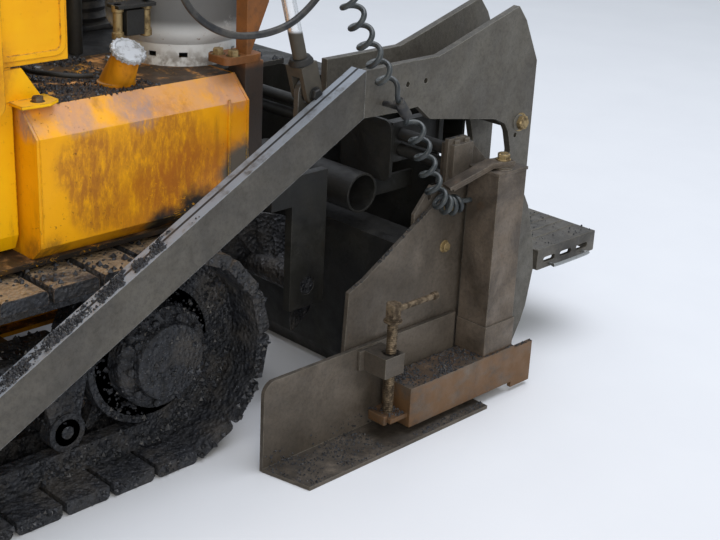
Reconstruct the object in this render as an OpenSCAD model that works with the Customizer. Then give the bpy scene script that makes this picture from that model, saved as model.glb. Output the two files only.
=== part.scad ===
/* [Screed width and tow arms] */
// Width over the outer faces of the side plates
paving_w = 2388; // [2300:4:2480]
// Thickness of a tow arm across the machine
arm_t = 50; // [40:1:55]
// Depth of a tow arm seen from the side
arm_depth = 103.5; // [90:0.5:115]
// Slope of a tow arm above the horizontal
arm_slope = 27.8; // [26.5:0.1:28.5]
// Distance of the tow pin in front of the origin
tow_pin_y = 625; // [580:5:660]
// Height of the tow pin
tow_pin_z = 250; // [240:1:260]
// Radius of the tow pin
tow_pin_r = 25; // [20:1:30]
// Thickness of a screed side plate
side_plate_t = 20; // [12:1:25]
// Gap between the two plates of a side frame
side_plate_gap = 114; // [90:1:118]
/* [Tracks] */
// Distance between the centre lines of the tracks
track_gauge = 1840; // [1800:4:1880]
// Width of a track shoe
track_w = 360; // [320:2:380]
// Distance between sprocket and idler
track_base = 1750; // [1600:10:1790]
// Radius to the outside of the shoes
track_r = 283; // [270:1:290]
// Depth of the chain and shoe together
track_depth = 100; // [80:1:110]
// Thickness of a shoe
shoe_t = 34; // [24:1:40]
// Number of shoes on a track
shoe_count = 41; // [36:1:44]
// Gap between two shoes
shoe_gap = 12; // [8:1:20]
// Place of the sprocket behind the origin
sprocket_y = 695; // [680:1:700]
// Radius of a bottom roller
roller_r = 60; // [50:1:64]
// Number of bottom rollers
roller_count = 5; // [3:1:6]
/* [Side tanks] */
// Length of a side tank
tank_len = 580; // [540:5:585]
// Height of a side tank
tank_h = 332; // [300:2:340]
// Outer face of a side tank from the centre line
tank_out = 1022; // [990:1:1040]
// Width of the sloping edge on top of a tank
tank_chamfer = 55; // [30:1:70]
// Start of the tanks behind the origin
tank_y = 390; // [385:1:400]
/* [Hopper] */
// Length of a hopper wing
wing_len = 1275; // [1150:5:1280]
// Reach of a wing's floor outward from its hinge
wing_reach = 700; // [640:5:720]
// Rise of a wing's floor from hinge to corner
wing_rise = 115; // [110:1:140]
// Height of a wing's outer wall
wing_wall = 370; // [300:5:380]
// Thickness of the hopper's plates
hopper_t = 10; // [8:1:12]
// Radius of a hopper hinge pin
wing_pin_r = 10; // [8:1:12]
/* [Auger and conveyor] */
// Radius over an auger's flights
auger_r = 150; // [130:1:155]
// Radius of an auger's shaft
auger_shaft_r = 32; // [28:1:36]
// Height of the auger axis
auger_z = 330; // [320:1:340]
// Turns of flighting on each auger
auger_turns = 3; // [2:1:4]
// Half width of the chain case between the augers
chain_case_half = 45; // [35:1:55]
// Half width of the conveyor floor
conveyor_half = 500; // [480:1:520]
// Thickness of the conveyor floor
conveyor_t = 12; // [8:1:16]
// Distance between two conveyor slats
slat_pitch = 200; // [150:5:250]
/* [Lift cylinders] */
// Distance of a lift cylinder from the centre line
lift_x = 1110; // [1106:1:1114]
// Radius of a lift cylinder's barrel
lift_barrel_r = 38; // [32:1:42]
// Radius of a lift cylinder's rod
lift_rod_r = 17; // [14:1:20]
// Length of a lift cylinder's barrel below its pivot
lift_barrel_len = 420; // [400:5:430]
/* [End gate] */
// Height of the ski plate
ski_h = 240; // [220:1:244]
// Length of the ski plate
ski_len = 685; // [640:5:686]
// Outer face of the ski plate from the centre line
ski_x = 1240; // [1236:1:1242]
// Thickness of the ski and end plates
gate_t = 12; // [8:1:12]
// Width of the ski's foot
foot_w = 137; // [100:1:150]
// Side of the square tubes of the gate
tube_w = 100; // [80:1:110]
// Height of the gate's post above the beam
post_h = 515; // [480:5:540]
// Radius of the height screw
screw_r = 14; // [10:1:16]
/* [Propane cylinder] */
// Radius of the propane cylinder
propane_r = 180; // [150:1:184]
// Height of the propane cylinder's body
propane_h = 560; // [480:5:600]
/* [Hidden] */
// Running clearance round a pin, and the small gap under a part that only lies on another
pin_gap = 0.06;
seat_gap = 0.3;

// Tracks and their frames
track_in = track_gauge / 2 - track_w / 2;
track_out = track_gauge / 2 + track_w / 2;
idler_y = sprocket_y - track_base;
track_top = 2 * track_r + 3;
chain_r = track_r - track_depth;
loop_len = 2 * track_base + 2 * PI * track_r;
shoe_pitch = loop_len / shoe_count;
beam_in = track_gauge / 2 - 60;
beam_out = track_gauge / 2 + 60;

// Frame
side_in = conveyor_half;
side_t = 16;
side_out = side_in + side_t;
frame_front = -2050;
frame_rear = 960;
frame_top = 600;
shelf_t = 12;
shelf_top = 590;
cowl_front = -540;
cowl_rear = 380;
cowl_out = 950;
cowl_in = 560;
cowl_top = 1010;
hood_rear = 520;
hood_top = 1330;
sheet_t = 6;
conveyor_z = 440;
hood_pin_y = cowl_front - 20;
hood_pin_z = cowl_top - 30;
deck_t = 12;
deck_top = shelf_top + tank_h;
deck_rear = 1165;
tank_in = 640;
tank_rear = tank_y + tank_len;

// Hopper
hinge_x = side_out + 18;
hinge_z = frame_top;
wing_front = frame_front + 10;
bulkhead_y = -740;

// Screed
arm_out = paving_w / 2;
arm_in = arm_out - arm_t;
plate_y = 1185;
inner_plate_out = arm_out - side_plate_t - side_plate_gap;
inner_plate_in = inner_plate_out - side_plate_t;
arm_rise = arm_depth / cos(arm_slope);
arm_top = 410 + (plate_y - 174) * tan(arm_slope);
kink_y = plate_y - (arm_top - arm_rise / 2 - tow_pin_z) / tan(arm_slope);
screed_front = 1640;
extension_rear = 1600;
extension_front = 1385;
burner_y = 1391;
burner_z = 542;
rail_y = 1500;
rail_z = [694, 651];
rail_r = 17;
end_plate_out = ski_x - gate_t - 6;
end_plate_in = end_plate_out - gate_t;
post_x = ski_x;
post_y = 1540;
beam_x = ski_x + 10;
beam_z = 30;
beam_h = 110;
beam_y = 1246;
beam_len = 414;
screw_x = ski_x + 60;
screw_y = 1216;
block_z = 180;
foot_t = 10;
ski_y = 845;

// Auger
auger_y = 1190;
hanger_in = 985;
hanger_out = 1010;

// Lift cylinders
lift_top = [853, 1638];
lift_pin = [1073, 890];
lift_len = norm(lift_pin - lift_top);
lift_angle = atan2(lift_pin[0] - lift_top[0], lift_top[1] - lift_pin[1]);
lift_pin_r = 14;
lift_post = [970, 985];

// Propane cylinder
propane_at = [735, 985];

// Draws its children on the machine's left, or mirrored on its right
module on_side(side) {
    if (side > 0) children();
    else mirror([1, 0, 0]) children();
}

// Extrudes an outline drawn as [y, z] across the machine, from x = from to x = to
module across(from, to) {
    translate([from, 0, 0]) rotate([90, 0, 90]) linear_extrude(to - from) children();
}

// Extrudes an outline drawn as [x, z] along the machine, from y = from to y = to
module along(from, to) {
    translate([0, to, 0]) rotate([90, 0, 0]) linear_extrude(to - from) children();
}

// A cylinder across the machine, from x = from to x = to
module bar_x(from, to, y, z, r) {
    translate([from, y, z]) rotate([0, 90, 0]) cylinder(r = r, h = to - from, $fn = 48);
}

// A box given by its two corners
module block(low, high) {
    translate(low) cube(high - low);
}

// The band round sprocket and idler at a radius from their centres, as [y, z]
module stadium(r) {
    for (y = [sprocket_y, idler_y]) translate([y, track_r]) circle(r, $fn = 64);
    translate([idler_y, track_r - r]) square([track_base, 2 * r]);
}

// Place of a point at distance s round the track as [y, z, angle]
function track_place(s) =
    let (r = track_r, half = PI * r)
    s < track_base ? [idler_y + s, 2 * r, 0]
    : s < track_base + half ? let (a = 180 * (s - track_base) / half)
        [sprocket_y + r * sin(a), r + r * cos(a), -a]
    : s < 2 * track_base + half ? [sprocket_y - (s - track_base - half), 0, 180]
    : let (a = 180 * (s - 2 * track_base - half) / half)
        [idler_y - r * sin(a), r - r * cos(a), 180 - a];

module track(side) {
    color("#4a443c") on_side(side) across(track_in, track_out) difference() {
        intersection() {
            translate([idler_y - 2 * track_r, 0]) square([track_base + 4 * track_r, 2 * track_r]);
            union() {
                stadium(track_r - shoe_t + 4);
                for (i = [0 : shoe_count - 1]) {
                    place = track_place((i + 0.5) * shoe_pitch);
                    translate([place[0], place[1]]) rotate(place[2])
                        translate([-(shoe_pitch - shoe_gap) / 2, -shoe_t])
                        square([shoe_pitch - shoe_gap, shoe_t]);
                }
            }
        }
        stadium(chain_r);
    }
}

module track_frame(side) {
    wheel_r = chain_r - seat_gap;
    roller_z = track_r - chain_r + roller_r + seat_gap;
    first = idler_y + chain_r + 60;
    step = (track_base - 2 * chain_r - 120) / (roller_count - 1);
    color("#2e2b28") on_side(side) {
        for (y = [sprocket_y, idler_y]) {
            bar_x(track_in + 40, track_out - 90, y, track_r, wheel_r);
            bar_x(track_in + 40, track_out - 40, y, track_r, 0.72 * wheel_r);
        }
        block([beam_in, idler_y, track_r - 60], [beam_out, sprocket_y, track_r + 70]);
        for (i = [0 : roller_count - 1]) {
            bar_x(track_in + 60, track_out - 60, first + i * step, roller_z, roller_r);
            bar_x(beam_in, beam_out, first + i * step, roller_z + 20, 50);
        }
        for (y = [-600, 120])
            bar_x(beam_in, beam_out, y, track_r + chain_r - 45 - seat_gap, 45);
        bar_x(beam_out, arm_in - 8, -tow_pin_y, tow_pin_z, 60);
        bar_x(beam_out, arm_out + 12, -tow_pin_y, tow_pin_z, tow_pin_r);
        bar_x(arm_out + 6, arm_out + 18, -tow_pin_y, tow_pin_z, tow_pin_r + 10);
    }
}

module main_frame() {
    color("#d99a1c") for (side = [1, -1]) on_side(side) {
        across(side_in, side_out) polygon([
            [frame_front, 400], [-1420, 400], [-1250, 200], [frame_rear, 200], [frame_rear, 520],
            [1040, 640], [1150, 640], [1150, deck_top - deck_t], [552, deck_top - deck_t],
            [552, frame_top],
            [frame_front, frame_top]
        ]);
        // Cross tubes to the track frame
        for (y = [-700, 300]) block([side_out, y, track_r - 50], [beam_in, y + 110, track_r + 50]);
        // Shelf over the track
        block([side_out, cowl_front, shelf_top - shelf_t], [tank_out - 22, 1060, shelf_top]);
        // Hinge knuckles of the hopper wing, with their pin
        for (y = [wing_front + 20, -1455, -885]) {
            translate([hinge_x, y, hinge_z]) rotate([-90, 0, 0]) cylinder(r = 18, h = 100, $fn = 32);
            block([side_out, y, hinge_z - 18], [hinge_x, y + 100, hinge_z]);
        }
        translate([hinge_x, wing_front + 20, hinge_z]) rotate([-90, 0, 0])
            cylinder(r = wing_pin_r, h = -885 + 100 - wing_front - 20, $fn = 32);
        // Beds of the engine
        for (y = [-400, 150]) block([0, y, frame_top], [side_out, y + 60, frame_top + 40]);
    }
    color("#d99a1c") {
        block([-side_in, 540, 640], [side_in, 552, deck_top - deck_t]);
        for (y = [-1240, -300, 700]) block([-side_in, y, 330], [side_in, y + 60, conveyor_z]);
    }
}

module conveyor() {
    top_z = conveyor_z + conveyor_t;
    start = frame_front + 15;
    end = 1010;
    count = floor((end - start - 60) / slat_pitch);
    color("#5a5650") {
        block([-side_in, start, conveyor_z], [side_in, frame_rear, top_z]);
        block([-15, start, top_z], [15, frame_rear, top_z + 70]);
        for (i = [0 : count - 2], side = [1, -1]) on_side(side)
            block([15, start + 40 + i * slat_pitch, top_z], [side_in - 40, start + 60 + i * slat_pitch, top_z + 22]);
    }
}

module hopper_base() {
    color("#e0a020") along(bulkhead_y, bulkhead_y + 15) polygon([
        [-1190, shelf_top - 10], [-side_out - 4, shelf_top - 10], [-side_out - 4, frame_top],
        [-side_in, frame_top], [-side_in, frame_top + 30],
        [side_in, frame_top + 30], [side_in, frame_top], [side_out + 4, frame_top],
        [side_out + 4, shelf_top - 10], [1190, shelf_top - 10],
        [1190, 985], [1080, 1085], [-1080, 1085], [-1190, 985]
    ]);
    color("#e0a020") for (side = [1, -1]) on_side(side)
        block([side_out + 4, bulkhead_y + 15, shelf_top], [side_out + 300, cowl_front, shelf_top + 10]);
    color("#262626") block([-side_in, frame_front, conveyor_z], [side_in, frame_front + 12, frame_top + 30]);
}

module hopper_wing(side) {
    wing_rear = bulkhead_y - 20;
    knuckles = [wing_front + 125, -1350];
    corner = [hinge_x + wing_reach, hinge_z + wing_rise];
    color("#e0a020") on_side(side) {
        along(wing_rear - wing_len, wing_rear) polygon([
            [hinge_x + 26, hinge_z - 4], [corner[0] - 4, corner[1] - 8], [corner[0] + 14, corner[1] + wing_wall],
            [corner[0] + 4, corner[1] + wing_wall], [corner[0] - 10, corner[1] + 4], [hinge_x + 26, hinge_z + 8]
        ]);
        for (y = knuckles) difference() {
            union() {
                translate([hinge_x, y, hinge_z]) rotate([-90, 0, 0]) cylinder(r = 18, h = 400, $fn = 32);
                block([hinge_x, y, hinge_z - 4], [hinge_x + 30, y + 400, hinge_z + 8]);
            }
            translate([hinge_x, y - 1, hinge_z]) rotate([-90, 0, 0])
                cylinder(r = wing_pin_r + pin_gap, h = 402, $fn = 32);
        }
    }
}

module push_beam() {
    color("#d99a1c") {
        block([-side_out, frame_front - 15, 400], [side_out, frame_front, 520]);
        for (x = [-480, -52, 40, 468])
            block([x, frame_front - 140, 410], [x + 12, frame_front - 15, 500]);
        bar_x(-480, 480, frame_front - 100, 455, 20);
    }
}

module push_roller(side) {
    color("#6b6b68") on_side(side) difference() {
        bar_x(57, 463, frame_front - 100, 455, 75);
        bar_x(56, 464, frame_front - 100, 455, 20 + pin_gap);
    }
}

module engine() {
    color("#3a3a3a") block([-330, -480, frame_top + 40], [330, 250, 960]);
}

// Cross-section of a cowl at a given inset from its faces, as [x, z]
module cowl_section(inset, top) {
    polygon([
        [cowl_in + inset, shelf_top + inset], [900, shelf_top + inset], [935 - inset, shelf_top + 15],
        [cowl_out - inset, shelf_top + 50], [cowl_out - inset, top], [cowl_in + inset, top]
    ]);
}

module engine_cowls() {
    color("#e8a417") for (side = [1, -1]) on_side(side) {
        difference() {
            along(cowl_front, cowl_rear) cowl_section(0, cowl_top);
            along(cowl_front + sheet_t, cowl_rear - sheet_t) cowl_section(sheet_t, cowl_top + 1);
        }
        // Lug and pin of the hood's hinge
        block([600, cowl_front - 34, hood_pin_z - 14], [620, cowl_front, hood_pin_z + 14]);
        bar_x(600, 660, hood_pin_y, hood_pin_z, 8);
    }
}

// Cross-section of the hood at a given inset from its faces, as [x, z]
module hood_section(inset, bottom) {
    out = cowl_out - inset;
    top = hood_top - inset;
    polygon([
        [-out, bottom], [out, bottom], [out, hood_top - 40], [out - 40 + inset / 2, top],
        [-out + 40 - inset / 2, top], [-out, hood_top - 40]
    ]);
}

module engine_hood() {
    bottom = cowl_top + seat_gap;
    color("#e8a417") {
        difference() {
            along(cowl_front, hood_rear) hood_section(0, bottom);
            along(cowl_front + sheet_t, hood_rear - sheet_t) hood_section(sheet_t, bottom - 1);
        }
        for (side = [1, -1]) on_side(side) difference() {
            across(626, 646) {
                translate([hood_pin_y, hood_pin_z]) circle(14, $fn = 32);
                translate([hood_pin_y - 14, hood_pin_z]) square([28, bottom + 60 - hood_pin_z]);
                translate([hood_pin_y, bottom + 6]) square([cowl_front - hood_pin_y, 54]);
            }
            bar_x(625, 647, hood_pin_y, hood_pin_z, 8 + pin_gap);
        }
    }
}

module deck() {
    color("#3c3a36") translate([0, 0, deck_top - deck_t]) linear_extrude(deck_t) polygon([
        [-tank_in, 530], [tank_in, 530], [tank_in, tank_rear + 2], [925, tank_rear + 2], [925, deck_rear],
        [-925, deck_rear], [-925, tank_rear + 2], [-tank_in, tank_rear + 2]
    ]);
}

module side_tank(side) {
    bottom = shelf_top;
    top = deck_top;
    color("#e39a1a") on_side(side) along(tank_y, tank_rear) polygon([
        [tank_in, bottom], [tank_out - 37, bottom], [tank_out, bottom + 35],
        [tank_out, top - tank_chamfer], [tank_out - tank_chamfer, top], [tank_in, top]
    ]);
}

module fuel_fillers() {
    color("#c58a1a") for (side = [1, -1]) on_side(side)
        translate([900, 670, deck_top]) {
            cylinder(r = 34, h = 60, $fn = 32);
            translate([0, 0, 60]) cylinder(r = 38, h = 25, $fn = 32);
        }
}

module propane_cylinder() {
    color("#d8d4c8") translate([propane_at[0], propane_at[1], deck_top]) {
        rotate_extrude($fn = 64) polygon([[140, 0], [146, 0], [146, 60], [140, 60]]);
        translate([0, 0, 30]) rotate_extrude($fn = 64) polygon([
            [0, 0], [100, 4], [150, 25], [propane_r, 70], [propane_r, propane_h - 100],
            [150, propane_h - 50], [60, propane_h - 30], [0, propane_h - 28]
        ]);
    }
}

module lift_posts() {
    color("#8a4a1e") for (side = [1, -1]) on_side(side) {
        block([lift_post[0] - 40, lift_post[1] - 12, shelf_top], [lift_post[0] + 30, lift_post[1] + 58, 955]);
        block([lift_post[0] - 75, lift_post[1] - 60, 955], [lift_post[0] + 75, lift_post[1] + 75, 975]);
        block([lift_post[0] - 30, lift_post[1] - 30, 975], [lift_post[0] + 30, lift_post[1] + 30, 1690]);
        across(lift_x - 30, lift_x - 18) polygon([
            [lift_top[0] - 40, lift_top[1] - 26], [lift_top[0] + 40, lift_top[1] - 26],
            [lift_post[1] + 30, 1620], [lift_post[1] + 30, 1690], [lift_top[0] - 40, 1690]
        ]);
        block([lift_post[0] + 30, lift_post[1] - 30, 1620], [lift_x - 30, lift_post[1] + 30, 1680]);
        bar_x(lift_x - 18, lift_x + 30, lift_top[0], lift_top[1], lift_pin_r);
        bar_x(lift_x + 20, lift_x + 30, lift_top[0], lift_top[1], lift_pin_r + 8);
    }
}

module console() {
    color("#2f2f2f") across(-450, 450) polygon([
        [540, deck_top], [640, deck_top], [680, 1180], [660, 1200], [540, 1260]
    ]);
}

module seats() {
    color("#222222") for (side = [1, -1]) on_side(side) {
        block([200, 900, deck_top], [400, 1060, 1130]);
        block([90, 820, 1130], [510, 1120, 1210]);
        block([90, 1080, 1210], [510, 1150, 1560]);
    }
}

module guard_rails() {
    color("#e0a020") for (side = [1, -1]) on_side(side) {
        for (y = [560, 770]) translate([600, y, deck_top]) cylinder(r = 19, h = 620, $fn = 24);
        for (z = [deck_top + 310, deck_top + 601])
            translate([600, 560, z]) rotate([-90, 0, 0]) cylinder(r = 19, h = 210, $fn = 24);
    }
}

module auger_frame() {
    color("#4a4a48") {
        difference() {
            block([-chain_case_half, 1100, auger_z - 90], [chain_case_half, 1280, 640]);
            bar_x(-chain_case_half - 1, chain_case_half + 1, auger_y, auger_z, 25 + pin_gap);
        }
        block([-hanger_out, 1060, 560], [hanger_out, 1130, 640]);
        for (side = [1, -1]) on_side(side) difference() {
            block([hanger_in, 1130, auger_z - 60], [hanger_out, 1250, 640]);
            bar_x(hanger_in - 1, hanger_out + 1, auger_y, auger_z, 25 + pin_gap);
        }
    }
}

module auger(side) {
    from = chain_case_half + 6;
    to = hanger_in - 6;
    color("#5c5852") on_side(side) {
        bar_x(from, to, auger_y, auger_z, auger_shaft_r);
        bar_x(2, hanger_out - 2, auger_y, auger_z, 25);
        translate([from + 20, auger_y, auger_z]) rotate([0, 90, 0])
            linear_extrude(to - from - 40, twist = 360 * auger_turns, slices = 12 * auger_turns, segments = 4)
            translate([auger_shaft_r - 8, -8]) square([auger_r - auger_shaft_r + 6, 16]);
    }
}

// Places its children with the lift cylinder's line running down -Z from its upper pivot
module on_lift() {
    translate([lift_x, lift_top[0], lift_top[1]]) rotate([lift_angle, 0, 0]) children();
}

module lift_barrel(side) {
    color("#2c2c2c") on_side(side) on_lift() difference() {
        union() {
            rotate([0, 90, 0]) translate([0, 0, -16]) cylinder(r = 30, h = 32, $fn = 48);
            translate([0, 0, -lift_barrel_len]) cylinder(r = lift_barrel_r, h = lift_barrel_len - 50, $fn = 48);
            translate([-16, -20, -60]) cube([32, 40, 60]);
        }
        rotate([0, 90, 0]) translate([0, 0, -41]) cylinder(r = lift_pin_r + pin_gap, h = 82, $fn = 48);
        translate([0, 0, -lift_barrel_len - 1])
            cylinder(r = lift_rod_r + pin_gap, h = lift_barrel_len - 49, $fn = 48);
    }
}

module lift_rod(side) {
    ear = 14;
    color("#c8ccd0") on_side(side) on_lift() {
        translate([0, 0, -lift_len + 60]) cylinder(r = lift_rod_r, h = 420, $fn = 48);
        translate([-28, -25, -lift_len + 50]) cube([56, 50, 26]);
        for (x = [-28, 28 - ear]) {
            translate([x, -25, -lift_len]) cube([ear, 50, 52]);
            translate([x, 0, -lift_len]) rotate([0, 90, 0]) cylinder(r = 25, h = ear, $fn = 48);
        }
        translate([-29, 0, -lift_len]) rotate([0, 90, 0]) cylinder(r = lift_pin_r, h = 58, $fn = 48);
    }
}

module tow_arm(side) {
    low = [-tow_pin_y, tow_pin_z];
    color("#57544a") on_side(side) difference() {
        union() {
            across(arm_in, arm_out) {
                polygon([
                    [low[0], low[1] - arm_depth / 2], [kink_y + 12, low[1] - arm_depth / 2],
                    [plate_y, arm_top - arm_rise], [plate_y, arm_top],
                    [kink_y - 12, low[1] + arm_depth / 2], [low[0], low[1] + arm_depth / 2]
                ]);
                translate(low) circle(arm_depth / 2 + 6, $fn = 64);
            }
            // Lug of the lift cylinder
            across(lift_x - 8, lift_x + 8) {
                translate(lift_pin) circle(34, $fn = 48);
                translate([lift_pin[0] - 34, lift_pin[1] - 110]) square([68, 110]);
            }
            block([lift_x - 8, lift_pin[0] - 34, lift_pin[1] - 110], [arm_in, lift_pin[0] + 34, lift_pin[1] - 60]);
        }
        bar_x(arm_in - 1, arm_out + 1, low[0], low[1], tow_pin_r + pin_gap);
        bar_x(lift_x - 9, lift_x + 9, lift_pin[0], lift_pin[1], lift_pin_r + 11);
    }
}

// Outline of a screed side plate, open toward the front, as [y, z]
module side_outline() {
    polygon([
        [plate_y, arm_top], [1445, arm_top + 2], [1500, 961], [1749, 1038], [1784, 998], [1845, 882],
        [1845, 500], [1869, 461], [1911, 330], [1921, 250], [1902, 143], [1885, 99], [1855, 43],
        [1830, 4], [screed_front + 20, 4], [screed_front, 24], [screed_front, 300], [1763, 420],
        [1763, 643], [1747, 697], [1731, 722], [1690, 742], [1424, 786], [1375, 826],
        [1311, 822], [plate_y, arm_top - arm_rise]
    ]);
}

module side_plate(side) {
    color("#5b584e") on_side(side) difference() {
        union() {
            across(arm_out - side_plate_t, arm_out) side_outline();
            across(inner_plate_in, inner_plate_out) side_outline();
            for (p = [[1787, 718, 22], [1640, 860, 30], [1800, 200, 25]])
                bar_x(inner_plate_out - 1, arm_out - side_plate_t + 1, p[0], p[1], p[2]);
        }
        for (p = [[1334, 888], [1399, 888], [1779, 683]])
            bar_x(arm_out - side_plate_t - 1, arm_out + 1, p[0], p[1], 7);
    }
}

module main_screed() {
    color("#4d4a42") {
        difference() {
            across(-inner_plate_in, inner_plate_in) difference() {
                polygon([
                    [screed_front, 40], [screed_front + 30, 0], [1900, 0], [1900, 300], [1800, 480],
                    [1700, 560], [screed_front, 560]
                ]);
                polygon([
                    [screed_front + 8, 44], [screed_front + 34, 12], [1892, 12], [1892, 298],
                    [1795, 473], [1697, 552], [screed_front + 8, 552]
                ]);
            }
        }
        // Upright of the front wall, and the main cross beam
        block([-inner_plate_in, screed_front, 560], [inner_plate_in, screed_front + 8, 740]);
        across(-inner_plate_in, inner_plate_in) difference() {
            translate([screed_front + 8, 640]) square([100, 100]);
            translate([screed_front + 16, 648]) square([84, 84]);
        }
        // Bearings of the extension rails
        for (side = [1, -1], x = [860, 1000]) on_side(side) difference() {
            block([x, 1465, 620], [x + 30, screed_front, 730]);
            for (z = rail_z) bar_x(x - 1, x + 31, rail_y, z, rail_r + pin_gap);
        }
    }
}

module burner_tubes() {
    color("#2a2c2e") for (side = [1, -1]) on_side(side) {
        difference() {
            bar_x(600, 1000, burner_y, burner_z, 55);
            bar_x(650, 1001, burner_y, burner_z, 49);
        }
        difference() {
            for (x = [640, 940]) block([x, burner_y, 500], [x + 10, screed_front, 550]);
            bar_x(601, 1001, burner_y, burner_z, 54);
        }
    }
}

module walkway() {
    color("#3a3833") {
        for (side = [1, -1]) on_side(side) block([1178, 1945, 240], [1190, 2225, 304]);
        block([-1178, 1945, 240], [1178, 1957, 296]);
        block([-1178, 2213, 240], [1178, 2225, 296]);
        block([-1178, 1945, 296], [1178, 2225, 304]);
        for (x = [-900, -300, 300, 900]) block([x - 25, 1900, 240], [x + 25, 1945, 290]);
    }
}

module extension(side) {
    color("#504d45") on_side(side) {
        across(30, end_plate_in) difference() {
            polygon([
                [extension_front, 50], [extension_front + 25, 0], [extension_rear, 0], [extension_rear, 300],
                [1500, 440], [extension_front, 440]
            ]);
            polygon([
                [extension_front + 8, 54], [extension_front + 29, 12], [extension_rear - 8, 12],
                [extension_rear - 8, 296], [1496, 432], [extension_front + 8, 432]
            ]);
        }
        for (z = rail_z) bar_x(200, end_plate_in, rail_y, z, rail_r);
    }
}

module end_plate(side) {
    color("#5f5b4e") on_side(side) {
        across(end_plate_in, end_plate_out) polygon([
            [1118, 40], [1134, 392], [1188, 415], [1442, 565], [1470, 600], [1470, 730], [1540, 730],
            [1640, 640], [1640, 40]
        ]);
        block([end_plate_out, 1560, 260], [post_x, 1640, 600]);
    }
}

module gate_post(side) {
    beam_top = beam_z + beam_h;
    color("#6b5a45") on_side(side) {
        block([post_x, post_y, beam_top], [post_x + tube_w, post_y + 112, beam_top + post_h]);
        block([beam_x, beam_y, beam_z], [beam_x + tube_w, beam_y + beam_len, beam_top]);
        block([beam_x + tube_w - 12, beam_y + beam_len, 13], [beam_x + tube_w, beam_y + beam_len + 80, 133]);
        block([beam_x + 10, beam_y - 60, beam_z + 26], [beam_x + tube_w - 10, beam_y, beam_z + 38]);
        translate([post_x + 70, post_y + 50, beam_top + post_h]) cylinder(r = 14, h = 40, $fn = 24);
    }
}

module ski(side) {
    color("#58554a") on_side(side) difference() {
        union() {
            across(ski_x - gate_t, ski_x) {
                translate([ski_y, 0]) square([ski_len, ski_h - 35]);
                translate([ski_y + 35, 0]) square([ski_len - 35, ski_h]);
                translate([ski_y + 35, ski_h - 35]) circle(35, $fn = 48);
            }
            linear_extrude(foot_t) polygon([
                [ski_x - 1, ski_y], [ski_x + foot_w, ski_y + 30], [ski_x + foot_w, ski_y + ski_len],
                [ski_x - 1, ski_y + ski_len]
            ]);
            block([ski_x - 1, screw_y - 44, block_z], [screw_x + 25, screw_y + 24, block_z + 55]);
        }
        translate([screw_x, screw_y, block_z - 1]) cylinder(r = screw_r + pin_gap, h = 57, $fn = 48);
    }
}

module gate_screw(side) {
    foot = beam_z + 38;
    color("#8b8375") on_side(side) translate([screw_x, screw_y, foot]) {
        cylinder(r = screw_r, h = 290, $fn = 48);
        translate([0, 0, 262]) cylinder(r = 22, h = 40, $fn = 6);
        translate([-9, 0, 270]) cube([18, 145, 14]);
    }
}

main_frame();
conveyor();
hopper_base();
hopper_wing(1);  // hopper_wing_left
hopper_wing(-1);  // hopper_wing_right
push_beam();
push_roller(1);  // push_roller_left
push_roller(-1);  // push_roller_right
track(1);  // track_left
track(-1);  // track_right
track_frame(1);  // track_frame_left
track_frame(-1);  // track_frame_right
engine();
engine_hood();
engine_cowls();
deck();
side_tank(1);  // side_tank_left
side_tank(-1);  // side_tank_right
fuel_fillers();
propane_cylinder();
lift_posts();
console();
seats();
guard_rails();
auger_frame();
auger(1);  // auger_left
auger(-1);  // auger_right
lift_barrel(1);  // lift_barrel_left
lift_barrel(-1);  // lift_barrel_right
lift_rod(1);  // lift_rod_left
lift_rod(-1);  // lift_rod_right
tow_arm(1);  // tow_arm_left
tow_arm(-1);  // tow_arm_right
side_plate(1);  // side_plate_left
side_plate(-1);  // side_plate_right
main_screed();
burner_tubes();
walkway();
extension(1);  // extension_left
extension(-1);  // extension_right
end_plate(1);  // end_plate_left
end_plate(-1);  // end_plate_right
gate_post(1);  // gate_post_left
gate_post(-1);  // gate_post_right
ski(1);  // ski_left
ski(-1);  // ski_right
gate_screw(1);  // gate_screw_left
gate_screw(-1);  // gate_screw_right
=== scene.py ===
import math
import random

import bmesh
import bpy
from mathutils import Matrix, Vector, noise
from mathutils.geometry import tessellate_polygon


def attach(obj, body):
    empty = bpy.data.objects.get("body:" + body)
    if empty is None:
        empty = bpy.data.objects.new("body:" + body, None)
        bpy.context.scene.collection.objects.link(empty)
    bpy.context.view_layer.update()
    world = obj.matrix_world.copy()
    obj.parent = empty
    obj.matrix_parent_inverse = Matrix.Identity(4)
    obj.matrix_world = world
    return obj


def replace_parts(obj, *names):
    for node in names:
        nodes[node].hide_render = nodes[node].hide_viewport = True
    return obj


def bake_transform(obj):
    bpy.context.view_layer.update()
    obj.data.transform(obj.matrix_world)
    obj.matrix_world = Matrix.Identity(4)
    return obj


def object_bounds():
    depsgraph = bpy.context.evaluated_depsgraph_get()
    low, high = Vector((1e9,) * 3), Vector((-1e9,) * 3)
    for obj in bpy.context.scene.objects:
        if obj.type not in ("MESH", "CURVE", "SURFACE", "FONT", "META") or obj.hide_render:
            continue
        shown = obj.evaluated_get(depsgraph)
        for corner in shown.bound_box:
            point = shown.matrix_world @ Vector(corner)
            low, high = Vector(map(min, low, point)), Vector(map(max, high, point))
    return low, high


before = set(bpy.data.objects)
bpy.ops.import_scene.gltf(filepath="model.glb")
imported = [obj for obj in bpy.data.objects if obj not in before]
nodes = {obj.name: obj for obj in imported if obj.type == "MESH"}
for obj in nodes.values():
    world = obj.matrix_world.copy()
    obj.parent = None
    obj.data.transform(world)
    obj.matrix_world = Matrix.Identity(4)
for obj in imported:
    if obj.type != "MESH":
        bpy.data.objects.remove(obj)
cad_low, cad_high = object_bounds()
scene = bpy.context.scene

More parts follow.
